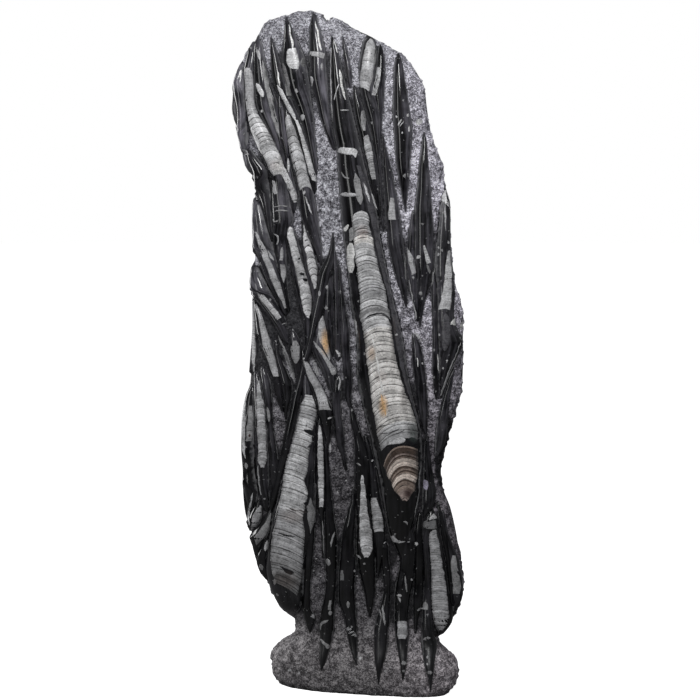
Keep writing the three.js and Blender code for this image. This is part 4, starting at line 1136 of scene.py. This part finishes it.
def new_group(name, inputs, outputs):
    """A shader group with named sockets, as its tree, its inputs and its output node."""
    group = bpy.data.node_groups.new(name, "ShaderNodeTree")
    for label, value in inputs.items():
        kind = "NodeSocketVector" if isinstance(value, tuple) else "NodeSocketFloat"
        group.interface.new_socket(name=label, in_out="INPUT", socket_type=kind).default_value = value
    for label in outputs:
        group.interface.new_socket(name=label, in_out="OUTPUT", socket_type="NodeSocketFloat")
    tree = Tree(group)
    return group, tree, tree.put("NodeGroupInput").outputs, tree.put("NodeGroupOutput")


def make_speckle_group():
    """Crystals and tool marks: crisp grains of two sizes, each with its own brightness, and their relief."""
    group, tree, given, made = new_group(
        "Speckle", {"Place": (0.0, 0.0, 0.0), "Grain": 500.0, "Contrast": 0.5}, ["Value", "Height"])
    coarse = tree.channel(tree.cells(given["Place"], given["Grain"]))
    fine = tree.channel(tree.cells(given["Place"], tree.times(given["Grain"], 2.3)), 1)
    both = tree.total(tree.times(coarse, 0.62), tree.times(fine, 0.38))
    spread = tree.sway(both, given["Contrast"])
    tree.wire(made, Value=tree.math("ADD", spread, 0.5, clamp=True), Height=both)
    return group


def make_wear_and_shade_group():
    """Worn edges, and on shells painted shade: 1 along a rib's or shell's edge, breaking up inwards."""
    group, tree, given, made = new_group(
        "Edge wear and shade", {"Place": (0.0, 0.0, 0.0), "Rim": 0.0, "Start": 0.9, "Breakup": 160.0}, ["Mask"])
    ragged_rim = tree.total(given["Rim"], tree.sway(tree.noise(given["Place"], given["Breakup"], 3), 0.3))
    tree.wire(made, Mask=tree.span(ragged_rim, given["Start"], 1.0))
    return group


def make_flecks_group():
    """Small pale bits of shell scattered through the stone, each drawn out a little at random."""
    group, tree, given, made = new_group(
        "Flecks", {"Place": (0.0, 0.0, 0.0), "Spread": 90.0, "Share": 0.3, "Size": 0.12}, ["Mask"])
    wobble = tree.put("VectorMath", operation="SCALE")
    tree.wire(wobble, Vector=tree.noise(given["Place"], 260.0, 1.0, output="Color"), Scale=0.005)
    bent = tree.shift(given["Place"], wobble.outputs[0])
    distance = tree.cells(bent, given["Spread"], "Distance")
    chance = tree.channel(tree.cells(bent, given["Spread"]))
    chosen = tree.math("LESS_THAN", chance, given["Share"])
    size = tree.times(given["Size"], tree.total(tree.math("DIVIDE", chance, given["Share"]), 0.4))
    inside = tree.span(distance, tree.times(size, 0.7), size, 1.0, 0.0)
    tree.wire(made, Mask=tree.times(chosen, inside))
    return group


SPECKLE, WEAR_AND_SHADE, FLECKS = make_speckle_group(), make_wear_and_shade_group(), make_flecks_group()


def new_material(name):
    material = bpy.data.materials.new(name)
    material.use_nodes = True
    tree = Tree(material.node_tree)
    return material, tree, tree.nodes["Principled BSDF"]


# The bruised ground from its darkest grains to its palest, and by height in metres the painted shade laid
# over it: a painted shadow line at the underside, and darker towards the foot
BRUISED = ((0.08, (0.045, 0.044, 0.050)), (0.5, (0.285, 0.280, 0.318)), (0.98, (0.90, 0.90, 0.97)))
PAINTED_SHADE_BY_HEIGHT = ((0.002, (0.10, 0.10, 0.10)), (0.0045, (0.62, 0.59, 0.56)), (0.05, (0.65, 0.62, 0.585)),
          (0.12, (0.31, 0.30, 0.295)), (0.26, (0.27, 0.258, 0.255)), (0.36, (0.47, 0.455, 0.45)),
          (0.58, (1, 1, 1)))


def make_pecked():
    """The pecked ground: bruised pale limestone, grain by grain, paler on the right as painted light and
    darker towards the foot as painted shade, with a painted shadow line at the underside, and black where the
    tool did not reach and, partly as painted shade, in narrow gaps between ribs."""
    material, tree, shader = new_material("pecked_limestone")
    place = tree.place()
    right, _, height = tree.axes(place)
    speckle = tree.use(SPECKLE, Place=place, Grain=680.0, Contrast=1.05)
    cloud = tree.noise(place, 26.0, 4.0, 0.6)
    fine = tree.sway(tree.noise(place, 900.0, 2.0, 0.6), 1.2)
    clumps = tree.sway(tree.noise(place, 125.0, 3.0, 0.65), tree.span(height, 0.70, 0.84, 2.1, 1.1))
    grains = tree.ramp(tree.total(speckle["Value"], tree.sway(cloud, 0.6), fine, clumps), BRUISED)
    colour = tree.mix(tree.span(height, 0.05, 0.19, 0.15, 0.0), grains, (0.25, 0.245, 0.25))
    # painted shade: a shadow line along the underside, and darker towards the foot
    colour = tree.mix(1.0, colour, tree.ramp(height, PAINTED_SHADE_BY_HEIGHT), "MULTIPLY")
    # painted light: the ground is paler towards the right
    colour = tree.mix(tree.span(right, 0.04, 0.13), colour, (1.9, 1.85, 1.9), "MULTIPLY")
    sparks = tree.use(FLECKS, Place=place, Spread=300.0, Share=0.30, Size=0.20)["Mask"]
    colour = tree.mix(tree.times(sparks, 0.75), colour, (0.85, 0.85, 0.86))
    # black where the tool did not reach, and in narrow gaps between ribs, where it is partly painted shade
    reach_and_gap_shade = tree.total(tree.carried("rim"), tree.sway(cloud, 0.8))
    colour = tree.mix(tree.span(reach_and_gap_shade, 0.15, 0.75, 0.9, 0.0), colour, (0.012, 0.012, 0.014))
    tree.wire(shader, Base_Color=colour, Roughness=tree.span(speckle["Value"], 0.2, 0.9, 0.75, 0.45),
              Normal=tree.relief(speckle["Height"], 0.45, 0.0006), Specular_IOR_Level=0.2)
    return material


def make_polished():
    """Black limestone polished bright: faint streaks along each rib, some ribs greyer than others, pale
    flecks and worn edges. Painted shade darkens the ribs towards the foot and painted light makes them paler
    on the right. Towards the top a painted reflection makes each rib's right side greyer and its left side
    darker, and its margins are paler, partly worn and partly painted sheen."""
    material, tree, shader = new_material("polished_limestone")
    place, flow, rib, rim = tree.place(), tree.flow(), tree.carried("rib"), tree.carried("rim")
    right, _, height = tree.axes(place)
    apart = tree.wire(tree.put("CombineXYZ"), X=tree.times(rib, 37.0)).outputs[0]
    own_flow = tree.shift(flow, apart)
    streaks = tree.noise(tree.stretch(own_flow, (0.30, 0.018, 1.0)), 1.0, 3.0, 0.6)
    cloud = tree.noise(place, 40.0, 3.0, 0.6)
    shade = tree.total(tree.times(streaks, 0.6), tree.times(cloud, 0.4))
    base = tree.mix(tree.span(shade, 0.42, 0.70), (0.006, 0.006, 0.0075), (0.100, 0.096, 0.112))
    lines = tree.noise(tree.stretch(own_flow, (1.3, 0.02, 1.0)), 1.0, 2.0, 0.5)
    base = tree.mix(tree.span(lines, 0.64, 0.72, 0.0, 0.45), base, (0.16, 0.155, 0.165))
    each = tree.wire(tree.put("TexWhiteNoise", noise_dimensions="1D"), W=rib).outputs["Value"]
    # each rib's own random tone, times painted shade that darkens the ribs towards the foot
    depth = tree.times(tree.span(each, 0.0, 1.0, 0.45, 1.9), tree.span(height, 0.22, 0.5, 0.22, 1.0))
    base = tree.mix(1.0, base, tree.grey(depth), "MULTIPLY")
    # painted reflection: near the top each rib's right side is paler and its left side darker
    upper = tree.span(height, 0.50, 0.72)
    painted_flank_reflection = tree.span(tree.axes(flow)[0], -1.5, 2.5, 0.25, 1.9)
    base = tree.mix(upper, base, tree.mix(1.0, base, tree.grey(painted_flank_reflection), "MULTIPLY"))
    # painted light: the ribs are paler towards the right
    base = tree.mix(tree.span(right, 0.05, 0.12), base, (1.5, 1.5, 1.5), "MULTIPLY")
    # pale margins near the top: partly worn edges, partly painted sheen
    margin_wear_and_sheen = tree.times(tree.span(rim, 0.62, 0.95), tree.times(upper, 0.55))
    base = tree.mix(margin_wear_and_sheen, base, (0.20, 0.20, 0.215))
    flecks = tree.use(FLECKS, Place=place, Spread=120.0, Share=0.12, Size=0.20)["Mask"]
    fine = tree.use(FLECKS, Place=place, Spread=330.0, Share=0.09, Size=0.25)["Mask"]
    spots = tree.math("MAXIMUM", tree.times(flecks, 0.8), tree.times(fine, 0.6))
    base = tree.mix(spots, base, (0.40, 0.40, 0.41))
    wear = tree.use(WEAR_AND_SHADE, Place=place, Rim=rim, Start=0.86, Breakup=170.0)["Mask"]
    base = tree.mix(tree.times(wear, 0.8), base, (0.30, 0.30, 0.31))
    smear = tree.span(tree.noise(place, 18.0, 3.0, 0.6), 0.35, 0.75, 0.07, 0.20)
    dull = tree.total(smear, tree.times(wear, 0.35), tree.span(height, 0.03, 0.13, 0.35, 0.0))
    tree.wire(shader, Base_Color=base, Roughness=dull, Normal=tree.relief(cloud, 0.06, 0.001),
              Specular_IOR_Level=0.6)
    return material


def make_calcite():
    """The shells: pale to brown calcite, polished, with dark walls between their chambers, and edges that are
    darker partly from wear and partly from painted shade.
    """
    material, tree, shader = new_material("shell_calcite")
    place, flow, septum = tree.place(), tree.flow(), tree.carried("septum")
    speckle = tree.use(SPECKLE, Place=place, Grain=700.0, Contrast=1.0)
    bands = tree.noise(tree.stretch(flow, (0.07, 0.8, 1.0)), 1.0, 3.0, 0.65)
    cloud = tree.noise(place, 85.0, 4.0, 0.65)
    light = tree.total(tree.times(bands, 0.50), tree.times(cloud, 0.55), tree.times(speckle["Value"], 0.22))
    light = tree.span(light, 0.43, 0.83, 0.42, 2.0)
    colour = tree.mix(1.0, tree.carried("tint", "Color"), tree.grey(light), "MULTIPLY")
    dashes = tree.sway(tree.noise(tree.stretch(flow, (0.16, 0.22, 1.0)), 1.0, 3.0, 0.6), 1.8)
    crumbs = tree.sway(tree.noise(place, 420.0, 2.0, 0.7), 0.5)
    drawn = tree.span(tree.total(septum, dashes, crumbs), 0.22, 0.62)
    wall = tree.times(drawn, tree.span(septum, 0.02, 0.16))
    colour = tree.mix(tree.times(wall, 0.9), colour, (0.040, 0.038, 0.038))
    # the shells' darker edges: partly wear, partly painted shade that makes each shell look rounded
    wear = tree.use(WEAR_AND_SHADE, Place=place, Rim=tree.carried("rim"), Start=0.80, Breakup=240.0)["Mask"]
    colour = tree.mix(tree.times(wear, 0.6), colour, (0.060, 0.058, 0.060))
    tree.wire(shader, Base_Color=colour, Roughness=tree.span(cloud, 0.3, 0.8, 0.22, 0.38),
              Normal=tree.relief(light, 0.12, 0.0005))
    return material


# ---- Camera, floor and light


def look_at(obj, eye, target):
    obj.location = eye
    obj.rotation_euler = (Vector(target) - Vector(eye)).to_track_quat("-Z", "Y").to_euler()


def around(target, turn, lift, distance):
    """A place at this distance from target, turned from straight in front towards +X, and lifted."""
    turn, lift = math.radians(turn), math.radians(lift)
    flat = distance * math.cos(lift)
    return Vector(target) + Vector((flat * math.sin(turn), -flat * math.cos(turn), distance * math.sin(lift)))


def add_camera():
    target = Vector(drawn_to_model([(0, 0, CAMERA_AIM)])[0])
    camera = add_object("camera", bpy.data.cameras.new("camera"))
    camera.data.lens = CAMERA_LENS
    camera.data.sensor_width = 36
    look_at(camera, around(target, CAMERA_TURN, CAMERA_LIFT, CAMERA_DISTANCE), target)
    bpy.context.scene.camera = camera


def add_panel(name, turn, lift, distance, aim, width, height, watts):
    light = bpy.data.lights.new(name, "AREA")
    light.shape, light.size, light.size_y = "RECTANGLE", width, height
    light.energy = watts
    look_at(add_object(name, light), around((0, 0, aim), turn, lift, distance), (0, 0, aim))


def add_surroundings():
    """Even pale light from all round. What the eye sees directly is paler than what lights the stone."""
    world = bpy.data.worlds.new("studio")
    bpy.context.scene.world = world
    world.use_nodes = True
    tree = Tree(world.node_tree)
    tree.nodes.clear()
    seen = tree.wire(tree.put("Background"), Color=(1, 1, 1), Strength=BACKDROP_SEEN)
    lighting = tree.wire(tree.put("Background"), Color=(0.95, 0.97, 1), Strength=BACKDROP_LIGHT)
    tree.fill(tree.put("OutputWorld"), tree.by_eye(seen.outputs[0], lighting.outputs[0]))


def add_floor():
    """A pale floor, which the eye sees nearly as pale as the backdrop."""
    material, tree, shader = new_material("pale_floor")
    tree.wire(shader, Base_Color=(0.86, 0.86, 0.86), Roughness=0.7)
    dim = tree.wire(tree.put("BsdfDiffuse"), Color=[FLOOR_LIGHT] * 3)
    bright = tree.wire(tree.put("Emission"), Strength=FLOOR_SEEN)
    both = tree.fill(tree.put("AddShader"), shader.outputs[0], bright.outputs[0])
    tree.fill(tree.nodes["Material Output"], tree.by_eye(both.outputs[0], dim.outputs[0]))
    mesh = bpy.data.meshes.new("floor")
    turns = [2 * math.pi * i / FLOOR_SIDES for i in range(FLOOR_SIDES)]
    mesh.from_pydata([(FLOOR_RADIUS * math.cos(a), FLOOR_RADIUS * math.sin(a), 0) for a in turns], [],
                     [tuple(range(FLOOR_SIDES))])
    mesh.materials.append(material)
    floor = add_object("floor", mesh)


# ---- The stone


def join(base, others, name, operation="UNION"):
    """One closed mesh of base and the others, which are used up. Faces keep what they carry."""
    held = bpy.data.collections.new("joined")
    bpy.context.scene.collection.children.link(held)
    for obj in others:
        bpy.context.scene.collection.objects.unlink(obj)
        held.objects.link(obj)
    cut = base.modifiers.new("cut", "BOOLEAN")
    cut.operation, cut.solver, cut.operand_type = operation, "MANIFOLD", "COLLECTION"
    cut.collection, cut.material_mode = held, "TRANSFER"
    graph = bpy.context.evaluated_depsgraph_get()
    mesh = bpy.data.meshes.new_from_object(base.evaluated_get(graph), depsgraph=graph)
    for obj in [base, *others]:
        bpy.data.objects.remove(obj)
    bpy.data.collections.remove(held)
    mesh.name = name
    return add_object(name, mesh)


def face_ribs(mesh):
    return read(mesh.attributes["rib"].data, "value")


def set_shading(mesh):
    """Ribs are smooth, the ground is faceted, and the line where two of them meet is sharp."""
    ribs = face_ribs(mesh)
    mesh.polygons.foreach_set("use_smooth", ribs > 0)
    edges = read(mesh.loops, "edge_index")
    by_corner = np.repeat(ribs, read(mesh.polygons, "loop_total"))
    least = np.full(len(mesh.edges), np.iinfo(np.int32).max)
    most = np.full(len(mesh.edges), -1)
    np.minimum.at(least, edges, by_corner)
    np.maximum.at(most, edges, by_corner)
    mesh.edges.foreach_set("use_edge_sharp", least != most)
    mesh.update()


def build_stone():
    pecked, polished = make_pecked(), make_polished()
    ground = make_mesh("ground", ground_shape(), pecked)
    shapes = [rib_from_cuts(cuts) for cuts in RIBS]
    shapes += [rear_rib(*rib) for rib in rear_ribs()]
    ribs = [make_mesh("rib", shape, polished, i + 1) for i, shape in enumerate(shapes)]
    notch = make_mesh("notch", notch_shape(), pecked)
    stone = join(join(ground, ribs, "joined"), [notch], "fossil_stone", "DIFFERENCE")
    set_shading(stone.data)
    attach(stone, "root")
    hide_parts("fossil_plate")
    return stone


# ---- Inlays: fossils laid on the stone's skin


class Skin:
    """The stone's surface, found along the lines of sight from the front, or straight from the back."""

    def __init__(self, stone):
        mesh = stone.data
        points = read(mesh.vertices, "co", float, 3).reshape(-1, 3)
        starts = read(mesh.polygons, "loop_start")
        faces = [list(face) for face in np.split(read(mesh.loops, "vertex_index"), starts[1:])]
        self.tree = BVHTree.FromPolygons(points.tolist(), faces)
        self.ribs = face_ribs(mesh)

    def under(self, x, z, back=False):
        """The skin's point at (x, z) in drawing millimetres, its normal and its rib, or None."""
        start = Vector(drawn_to_model([(x, 0 if back else DRAWN_DEPTH, z)])[0])
        along = Vector((0, -1, 0)) if back else Vector((sight(x), 1, fall(z)))
        point, normal, face, _ = self.tree.ray_cast(start - along * RAY_START, along.normalized())
        return None if point is None else (point, normal, int(self.ribs[face]))


def chain(points, shares):
    """Points at these shares of the way along a chain of points, on a smooth curve through them."""
    points = np.array(points, float)
    gone = np.concatenate([[0], np.cumsum(np.hypot(*np.diff(points, axis=0).T))])
    return np.stack([eased(gone / gone[-1], points[:, axis], shares) for axis in (0, 1)], 1)


def ragged(points):
    """Points moved a little, so that an inlay's edge is broken stone and not a drawn line."""
    for scale, most in WANDERS:
        for axis, seed in ((0, 1.7), (1, 9.1)):
            points[:, axis] += [2 * most * rough(x, 0, z, scale, seed) for x, z in points]
    return points


class Inlays:
    """Many closed thin inlays in one mesh. Besides what a Shape's points carry, theirs carry "tint",
    their own colour, and "septum", 1 along a strong chamber wall."""

    def __init__(self, skin):
        self.skin = skin
        self.points, self.faces, self.flow, self.rim, self.tint, self.septum = [], [], [], [], [], []

    def row_ends(self, middle, half, bow, allowed, back):
        """How far across (-1 to 1) a row can run from its middle without leaving the ribs allowed."""
        tries = np.linspace(-1, 1, ROW_TRIES)
        good = []
        for t in tries:
            found = self.skin.under(*(middle + half * t + bow * (1 - t * t)), back)
            good.append(found is not None and (not allowed or found[2] in allowed))
        if not any(good):
            return None
        low = high = min(np.flatnonzero(good), key=lambda i: abs(i - ROW_TRIES // 2))
        while low > 0 and good[low - 1]:
            low -= 1
        while high < ROW_TRIES - 1 and good[high + 1]:
            high += 1
        return tries[low], tries[high]

    def add(self, left, right, tone, pitch=0.0, bow=0.0, strong=(), faint=(0.28, 0.62), bands=(), drop=0.0,
            back=False, proud=INLAY_PROUD, step=ROW_STEP):
        """One inlay between its left and right sides. With a pitch it has chamber walls."""
        chance = random.Random(int(1000 * left[0][0] + left[0][1]))
        nine = np.linspace(0, 1, 9)
        length = np.hypot(*np.diff((chain(left, nine) + chain(right, nine)) / 2, axis=0).T).sum()
        if pitch:
            heights = [(left[end][1] + right[end][1]) / 2 for end in (0, -1)]
            walls = self.walls(length, heights, pitch, strong, faint, chance)
            rows = self.chambers(length, walls, chance)
        else:
            count = max(3, round(length / step))
            rows = [(length * i / count, 0.0, 1.0) for i in range(count + 1)]
        places, strengths, _ = np.array(rows).T
        shares = places / length
        lefts, rights = ragged(chain(left, shares)), ragged(chain(right, shares))
        middles, halves = (lefts + rights) / 2, (rights - lefts) / 2
        halves *= (1 - SCALLOP * strengths)[:, None]
        wide = np.hypot(*halves.T)
        across = np.stack([-halves[:, 1], halves[:, 0]], 1) / np.maximum(wide, 1e-6)[:, None]
        across *= np.sign(across[:, 1:] + 1e-9)
        bows = across * bow * wide[:, None]
        halves = halves - np.array([0, drop]) * (wide / max(wide.max(), 1e-6))[:, None]
        allowed = self.home_ribs(middles, halves, back)
        cell = SHELL_CELL if pitch else PLAIN_CELL
        columns = int(np.clip(round(2 * wide.max() / cell) + 1, COLUMNS_FEWEST, COLUMNS_MOST))
        rings = []
        for i, share in enumerate(shares):
            line = middles[i], halves[i], bows[i]
            ends = self.row_ends(*line, allowed, back)
            if ends is None or (ends[1] - ends[0]) * wide[i] < ROW_LEAST:
                continue
            tint = TONES[self.tone_at(share, tone, bands)]
            rings.append(self.row(line, wide[i], ends, columns, rows[i], tint, proud, back))
        rings = [ring for ring in rings if ring]
        if len(rings) > 1:
            self.close(rings, back)

    def walls(self, length, heights, pitch, strong, faint, chance):
        """A shell's chamber walls: distance from its top, and how strong."""
        top, bottom = heights
        walls = [((top - height) / (top - bottom) * length, 1.0) for height in strong]
        place = pitch * PITCHES[0]
        while place < length - WALL_CLEAR_TOP:
            if all(abs(place - other) > STRONG_CLEAR * pitch for other, _ in walls):
                walls.append((place, chance.uniform(*faint)))
            place += pitch * chance.uniform(*PITCHES)
        spaced = []
        for wall in sorted(walls):
            inside = WALL_CLEAR_TOP < wall[0] < length - WALL_CLEAR_BOTTOM
            if inside and (not spaced or wall[0] - spaced[-1][0] > SEPTUM_CLEAR * SEPTUM_HALF):
                spaced.append(wall)
        return spaced

    def chambers(self, length, walls, chance):
        """Rows down a shell with chamber walls: distance from its top, how strong a wall is there, and
        how bright. Each wall is a groove of three rows, and each chamber has its own brightness, with painted
        light in the middle of a long one and painted shade on its last row before a wall."""
        rows, last, shade = [(0.0, 0.0, 1.0), (END_ROW, 0.0, 1.0)], END_ROW, 1.0
        for place, strength in walls:
            half = SEPTUM_HALF * np.interp(strength, (0, 1), SEPTUM_WIDTHS)
            if place - half - last > CHAMBER_LONG:
                rows.append(((place - half + last) / 2, 0.0, shade * CHAMBER_PAINTED_LIGHT))
            rows.append((max(place - half, last + ROW_GAP), 0.0, shade * CHAMBER_PAINTED_SHADE))
            rows.append((place, strength, shade))
            shade = chance.uniform(*SHADES)
            last = place + half
            rows.append((last, 0.0, shade))
        rows.append((max(length - END_ROW, last + 2 * ROW_GAP), 0.0, shade))
        rows.append((max(length, last + 4 * ROW_GAP), 0.0, shade))
        return rows

    def home_ribs(self, middles, halves, back):
        """The ribs under more than HOME_SHARE of an inlay: none when it lies on the ground."""
        felt = [self.skin.under(*(middle + half * t), back)
                for middle, half in zip(middles, halves) for t in (-0.5, 0.0, 0.5)]
        ribs = [found[2] for found in felt if found]
        return {rib for rib in ribs if rib > 0 and ribs.count(rib) > HOME_SHARE * len(ribs)}

    def stained(self, tint, spot):
        """A fossil's tint at a spot of the drawing, with the soft stains that lie over it."""
        for tone, x, z, half_width, half_height, most in STAINS:
            away = math.hypot((spot[0] - x) / half_width, (spot[1] - z) / half_height)
            share = most * max(0.0, 1 - away ** 2)
            tint = [own + (other - own) * share for own, other in zip(tint, TONES[tone])]
        return tint

    def tone_at(self, share, tone, bands):
        """The name of the tone at a share of the way down a shell."""
        return [tone, *(name for start, name in bands if share >= start)][-1]

    def row(self, line, wide, ends, columns, level, tint, proud, back):
        """A row's points on the skin from left to right, then two inside the stone. None if one misses."""
        (middle, half, bow), (low, high), (place, wall, light) = line, ends, level
        bevel = min(INLAY_BEVEL / max(wide, 0.3), (high - low) * 0.2)
        across = np.concatenate([[low], np.linspace(low + bevel, high - bevel, columns), [high]])
        top, tints = [], []
        for t in across:
            spot = middle + half * t + bow * (1 - t * t)
            found = self.skin.under(*spot, back)
            if found is None:
                return None
            point, normal, _ = found
            stand = INLAY_EDGE if t in ends else proud - SEPTUM_DEPTH * wall
            top.append(np.array(point + normal * stand * MM))
            own = tint if back else self.stained(tint, spot)
            # light: the chamber's own brightness, with the painted light and painted shade of its rows
            tints.append((*(c * light for c in own), 1.0))
        into = np.array([0, -1.0 if back else 1.0, 0]) * INLAY_SINK * MM
        first = len(self.points)
        self.points += [*top, top[-1] + into, top[0] + into]
        self.tint += [*tints, tints[-1], tints[0]]
        self.rim += [*(abs(2 * (t - low) / (high - low) - 1) for t in across), 1.0, 1.0]
        self.flow += [*((t * wide, place) for t in across), (0.0, place), (0.0, place)]
        self.septum += [wall] * len(across) + [0.0, 0.0]
        return list(range(first, len(self.points)))

    def close(self, rings, back):
        """Joins an inlay's rows into one closed skin, and turns its faces outwards."""
        faces = [tuple(rings[0]), tuple(reversed(rings[-1]))]
        for upper, lower in zip(rings, rings[1:]):
            for i, _ in enumerate(upper):
                j = (i + 1) % len(upper)
                faces.append((upper[i], lower[i], lower[j], upper[j]))
        top = [self.points[i] for i in faces[2]]
        facing = np.cross(top[1] - top[0], top[3] - top[0])[1]
        inwards = facing < 0 if back else facing > 0
        if inwards:
            faces = [tuple(reversed(face)) for face in faces]
        self.faces += faces

    def chip(self, tone, loop, **given):
        """A chip from a loop of points: split at its ends into a left and a right side."""
        top = max(range(len(loop)), key=lambda i: loop[i][1])
        bottom = min(range(len(loop)), key=lambda i: loop[i][1])
        one = [loop[(top + i) % len(loop)] for i in range((bottom - top) % len(loop) + 1)]
        other = [loop[(top - i) % len(loop)] for i in range((top - bottom) % len(loop) + 1)]
        sides = sorted((one, other), key=lambda side: sum(x for x, _ in side) / len(side))
        self.add(*sides, tone, step=CHIP_STEP, **given)

    def streak(self, tone, width, line, **given):
        """A streak along a line, thinning to both ends."""
        shares = np.linspace(0, 1, 7)
        middle = chain(line, shares)
        along = np.gradient(middle, axis=0)
        along /= np.maximum(np.hypot(*along.T), 1e-6)[:, None]
        normal = np.stack([-along[:, 1], along[:, 0]], 1)
        half = width / 2 * np.sqrt(np.clip(1 - (2 * shares - 1) ** 4, 0.02, 1))
        sides = [middle + normal * half[:, None], middle - normal * half[:, None]]
        if abs(along[3, 0]) < abs(along[3, 1]):
            sides.sort(key=lambda side: side[:, 0].mean())
        self.add(*sides, tone, step=STREAK_STEP, **given)

    def spot(self, tone, x, z, half_width, half_height, **given):
        turns = [math.pi * (0.08 + 0.84 * i / 6) for i in range(7)]
        sides = [[(x + way * half_width * math.sin(a), z + half_height * math.cos(a)) for a in turns]
                 for way in (-1, 1)]
        self.add(*sides, tone, step=SPOT_STEP, **given)

    def to_object(self, name, material):
        mesh = bpy.data.meshes.new(name)
        mesh.from_pydata([tuple(point) for point in self.points], [], self.faces)
        mesh.materials.append(material)
        carry(mesh, "rim", self.rim)
        carry(mesh, "septum", self.septum)
        carry(mesh, "tint", self.tint, "FLOAT_COLOR")
        carry_flow(mesh, self.flow)
        mesh.polygons.foreach_set("use_smooth", [True] * len(mesh.polygons))
        mesh.set_sharp_from_angle(angle=math.radians(45))
        mesh.update()
        obj = add_object(name, mesh)
        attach(obj, "root")
        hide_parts("fossil_plate")


def rear_shells():
    """Shells along the middles of the back's broad ribs, and of some slim ones."""
    chance = random.Random(5)
    shells = []
    for degrees, middle, length, width, lean in rear_ribs():
        if not REAR_FACING[0] < degrees < REAR_FACING[1] or chance.random() < REAR_BARE:
            continue
        half = width * chance.uniform(*REAR_SHELL_HALF)
        low, high = chance.uniform(*REAR_SHELL_LOW), chance.uniform(*REAR_SHELL_HIGH)
        left, right = [], []
        for share in np.linspace(high, low, 9):
            z = middle + length * share
            x = np.interp(math.radians(degrees + lean * share), ANGLES, Section(z).x)
            along = (share - low) / (high - low)
            rounded = math.sqrt(max(0.03, 1 - abs(2 * along - 1) ** 5))
            wide = half * (1 - 0.35 * along) * rounded
            left.append((x - wide, z))
            right.append((x + wide, z))
        shells.append(dict(left=left, right=right, tone=chance.choice(REAR_SHELL_TONES),
                           pitch=chance.choice(REAR_SHELL_PITCHES), bow=0.3, back=True))
    return shells


def build_shells(stone):
    skin = Skin(stone)
    shells, bits = Inlays(skin), Inlays(skin)
    for shell in SHELLS + rear_shells():
        shells.add(**shell)
    for chip in CHIPS:
        bits.chip(*chip)
    for streak in STREAKS:
        bits.streak(*streak, proud=INLAY_PROUD + STREAKS_OVER)
    for spot in SPOTS:
        bits.spot(*spot, proud=INLAY_PROUD + SPOTS_OVER)
    for loop in GAPS:
        bits.chip("black", loop, proud=INLAY_PROUD + GAPS_OVER)
    calcite = make_calcite()
    shells.to_object("fossil_shells", calcite)
    bits.to_object("fossil_fragments", calcite)


add_camera()
add_floor()
add_surroundings()
for panel in PANELS:
    add_panel(*panel)
build_shells(build_stone())

bpy.context.scene.view_settings.view_transform = "Standard"
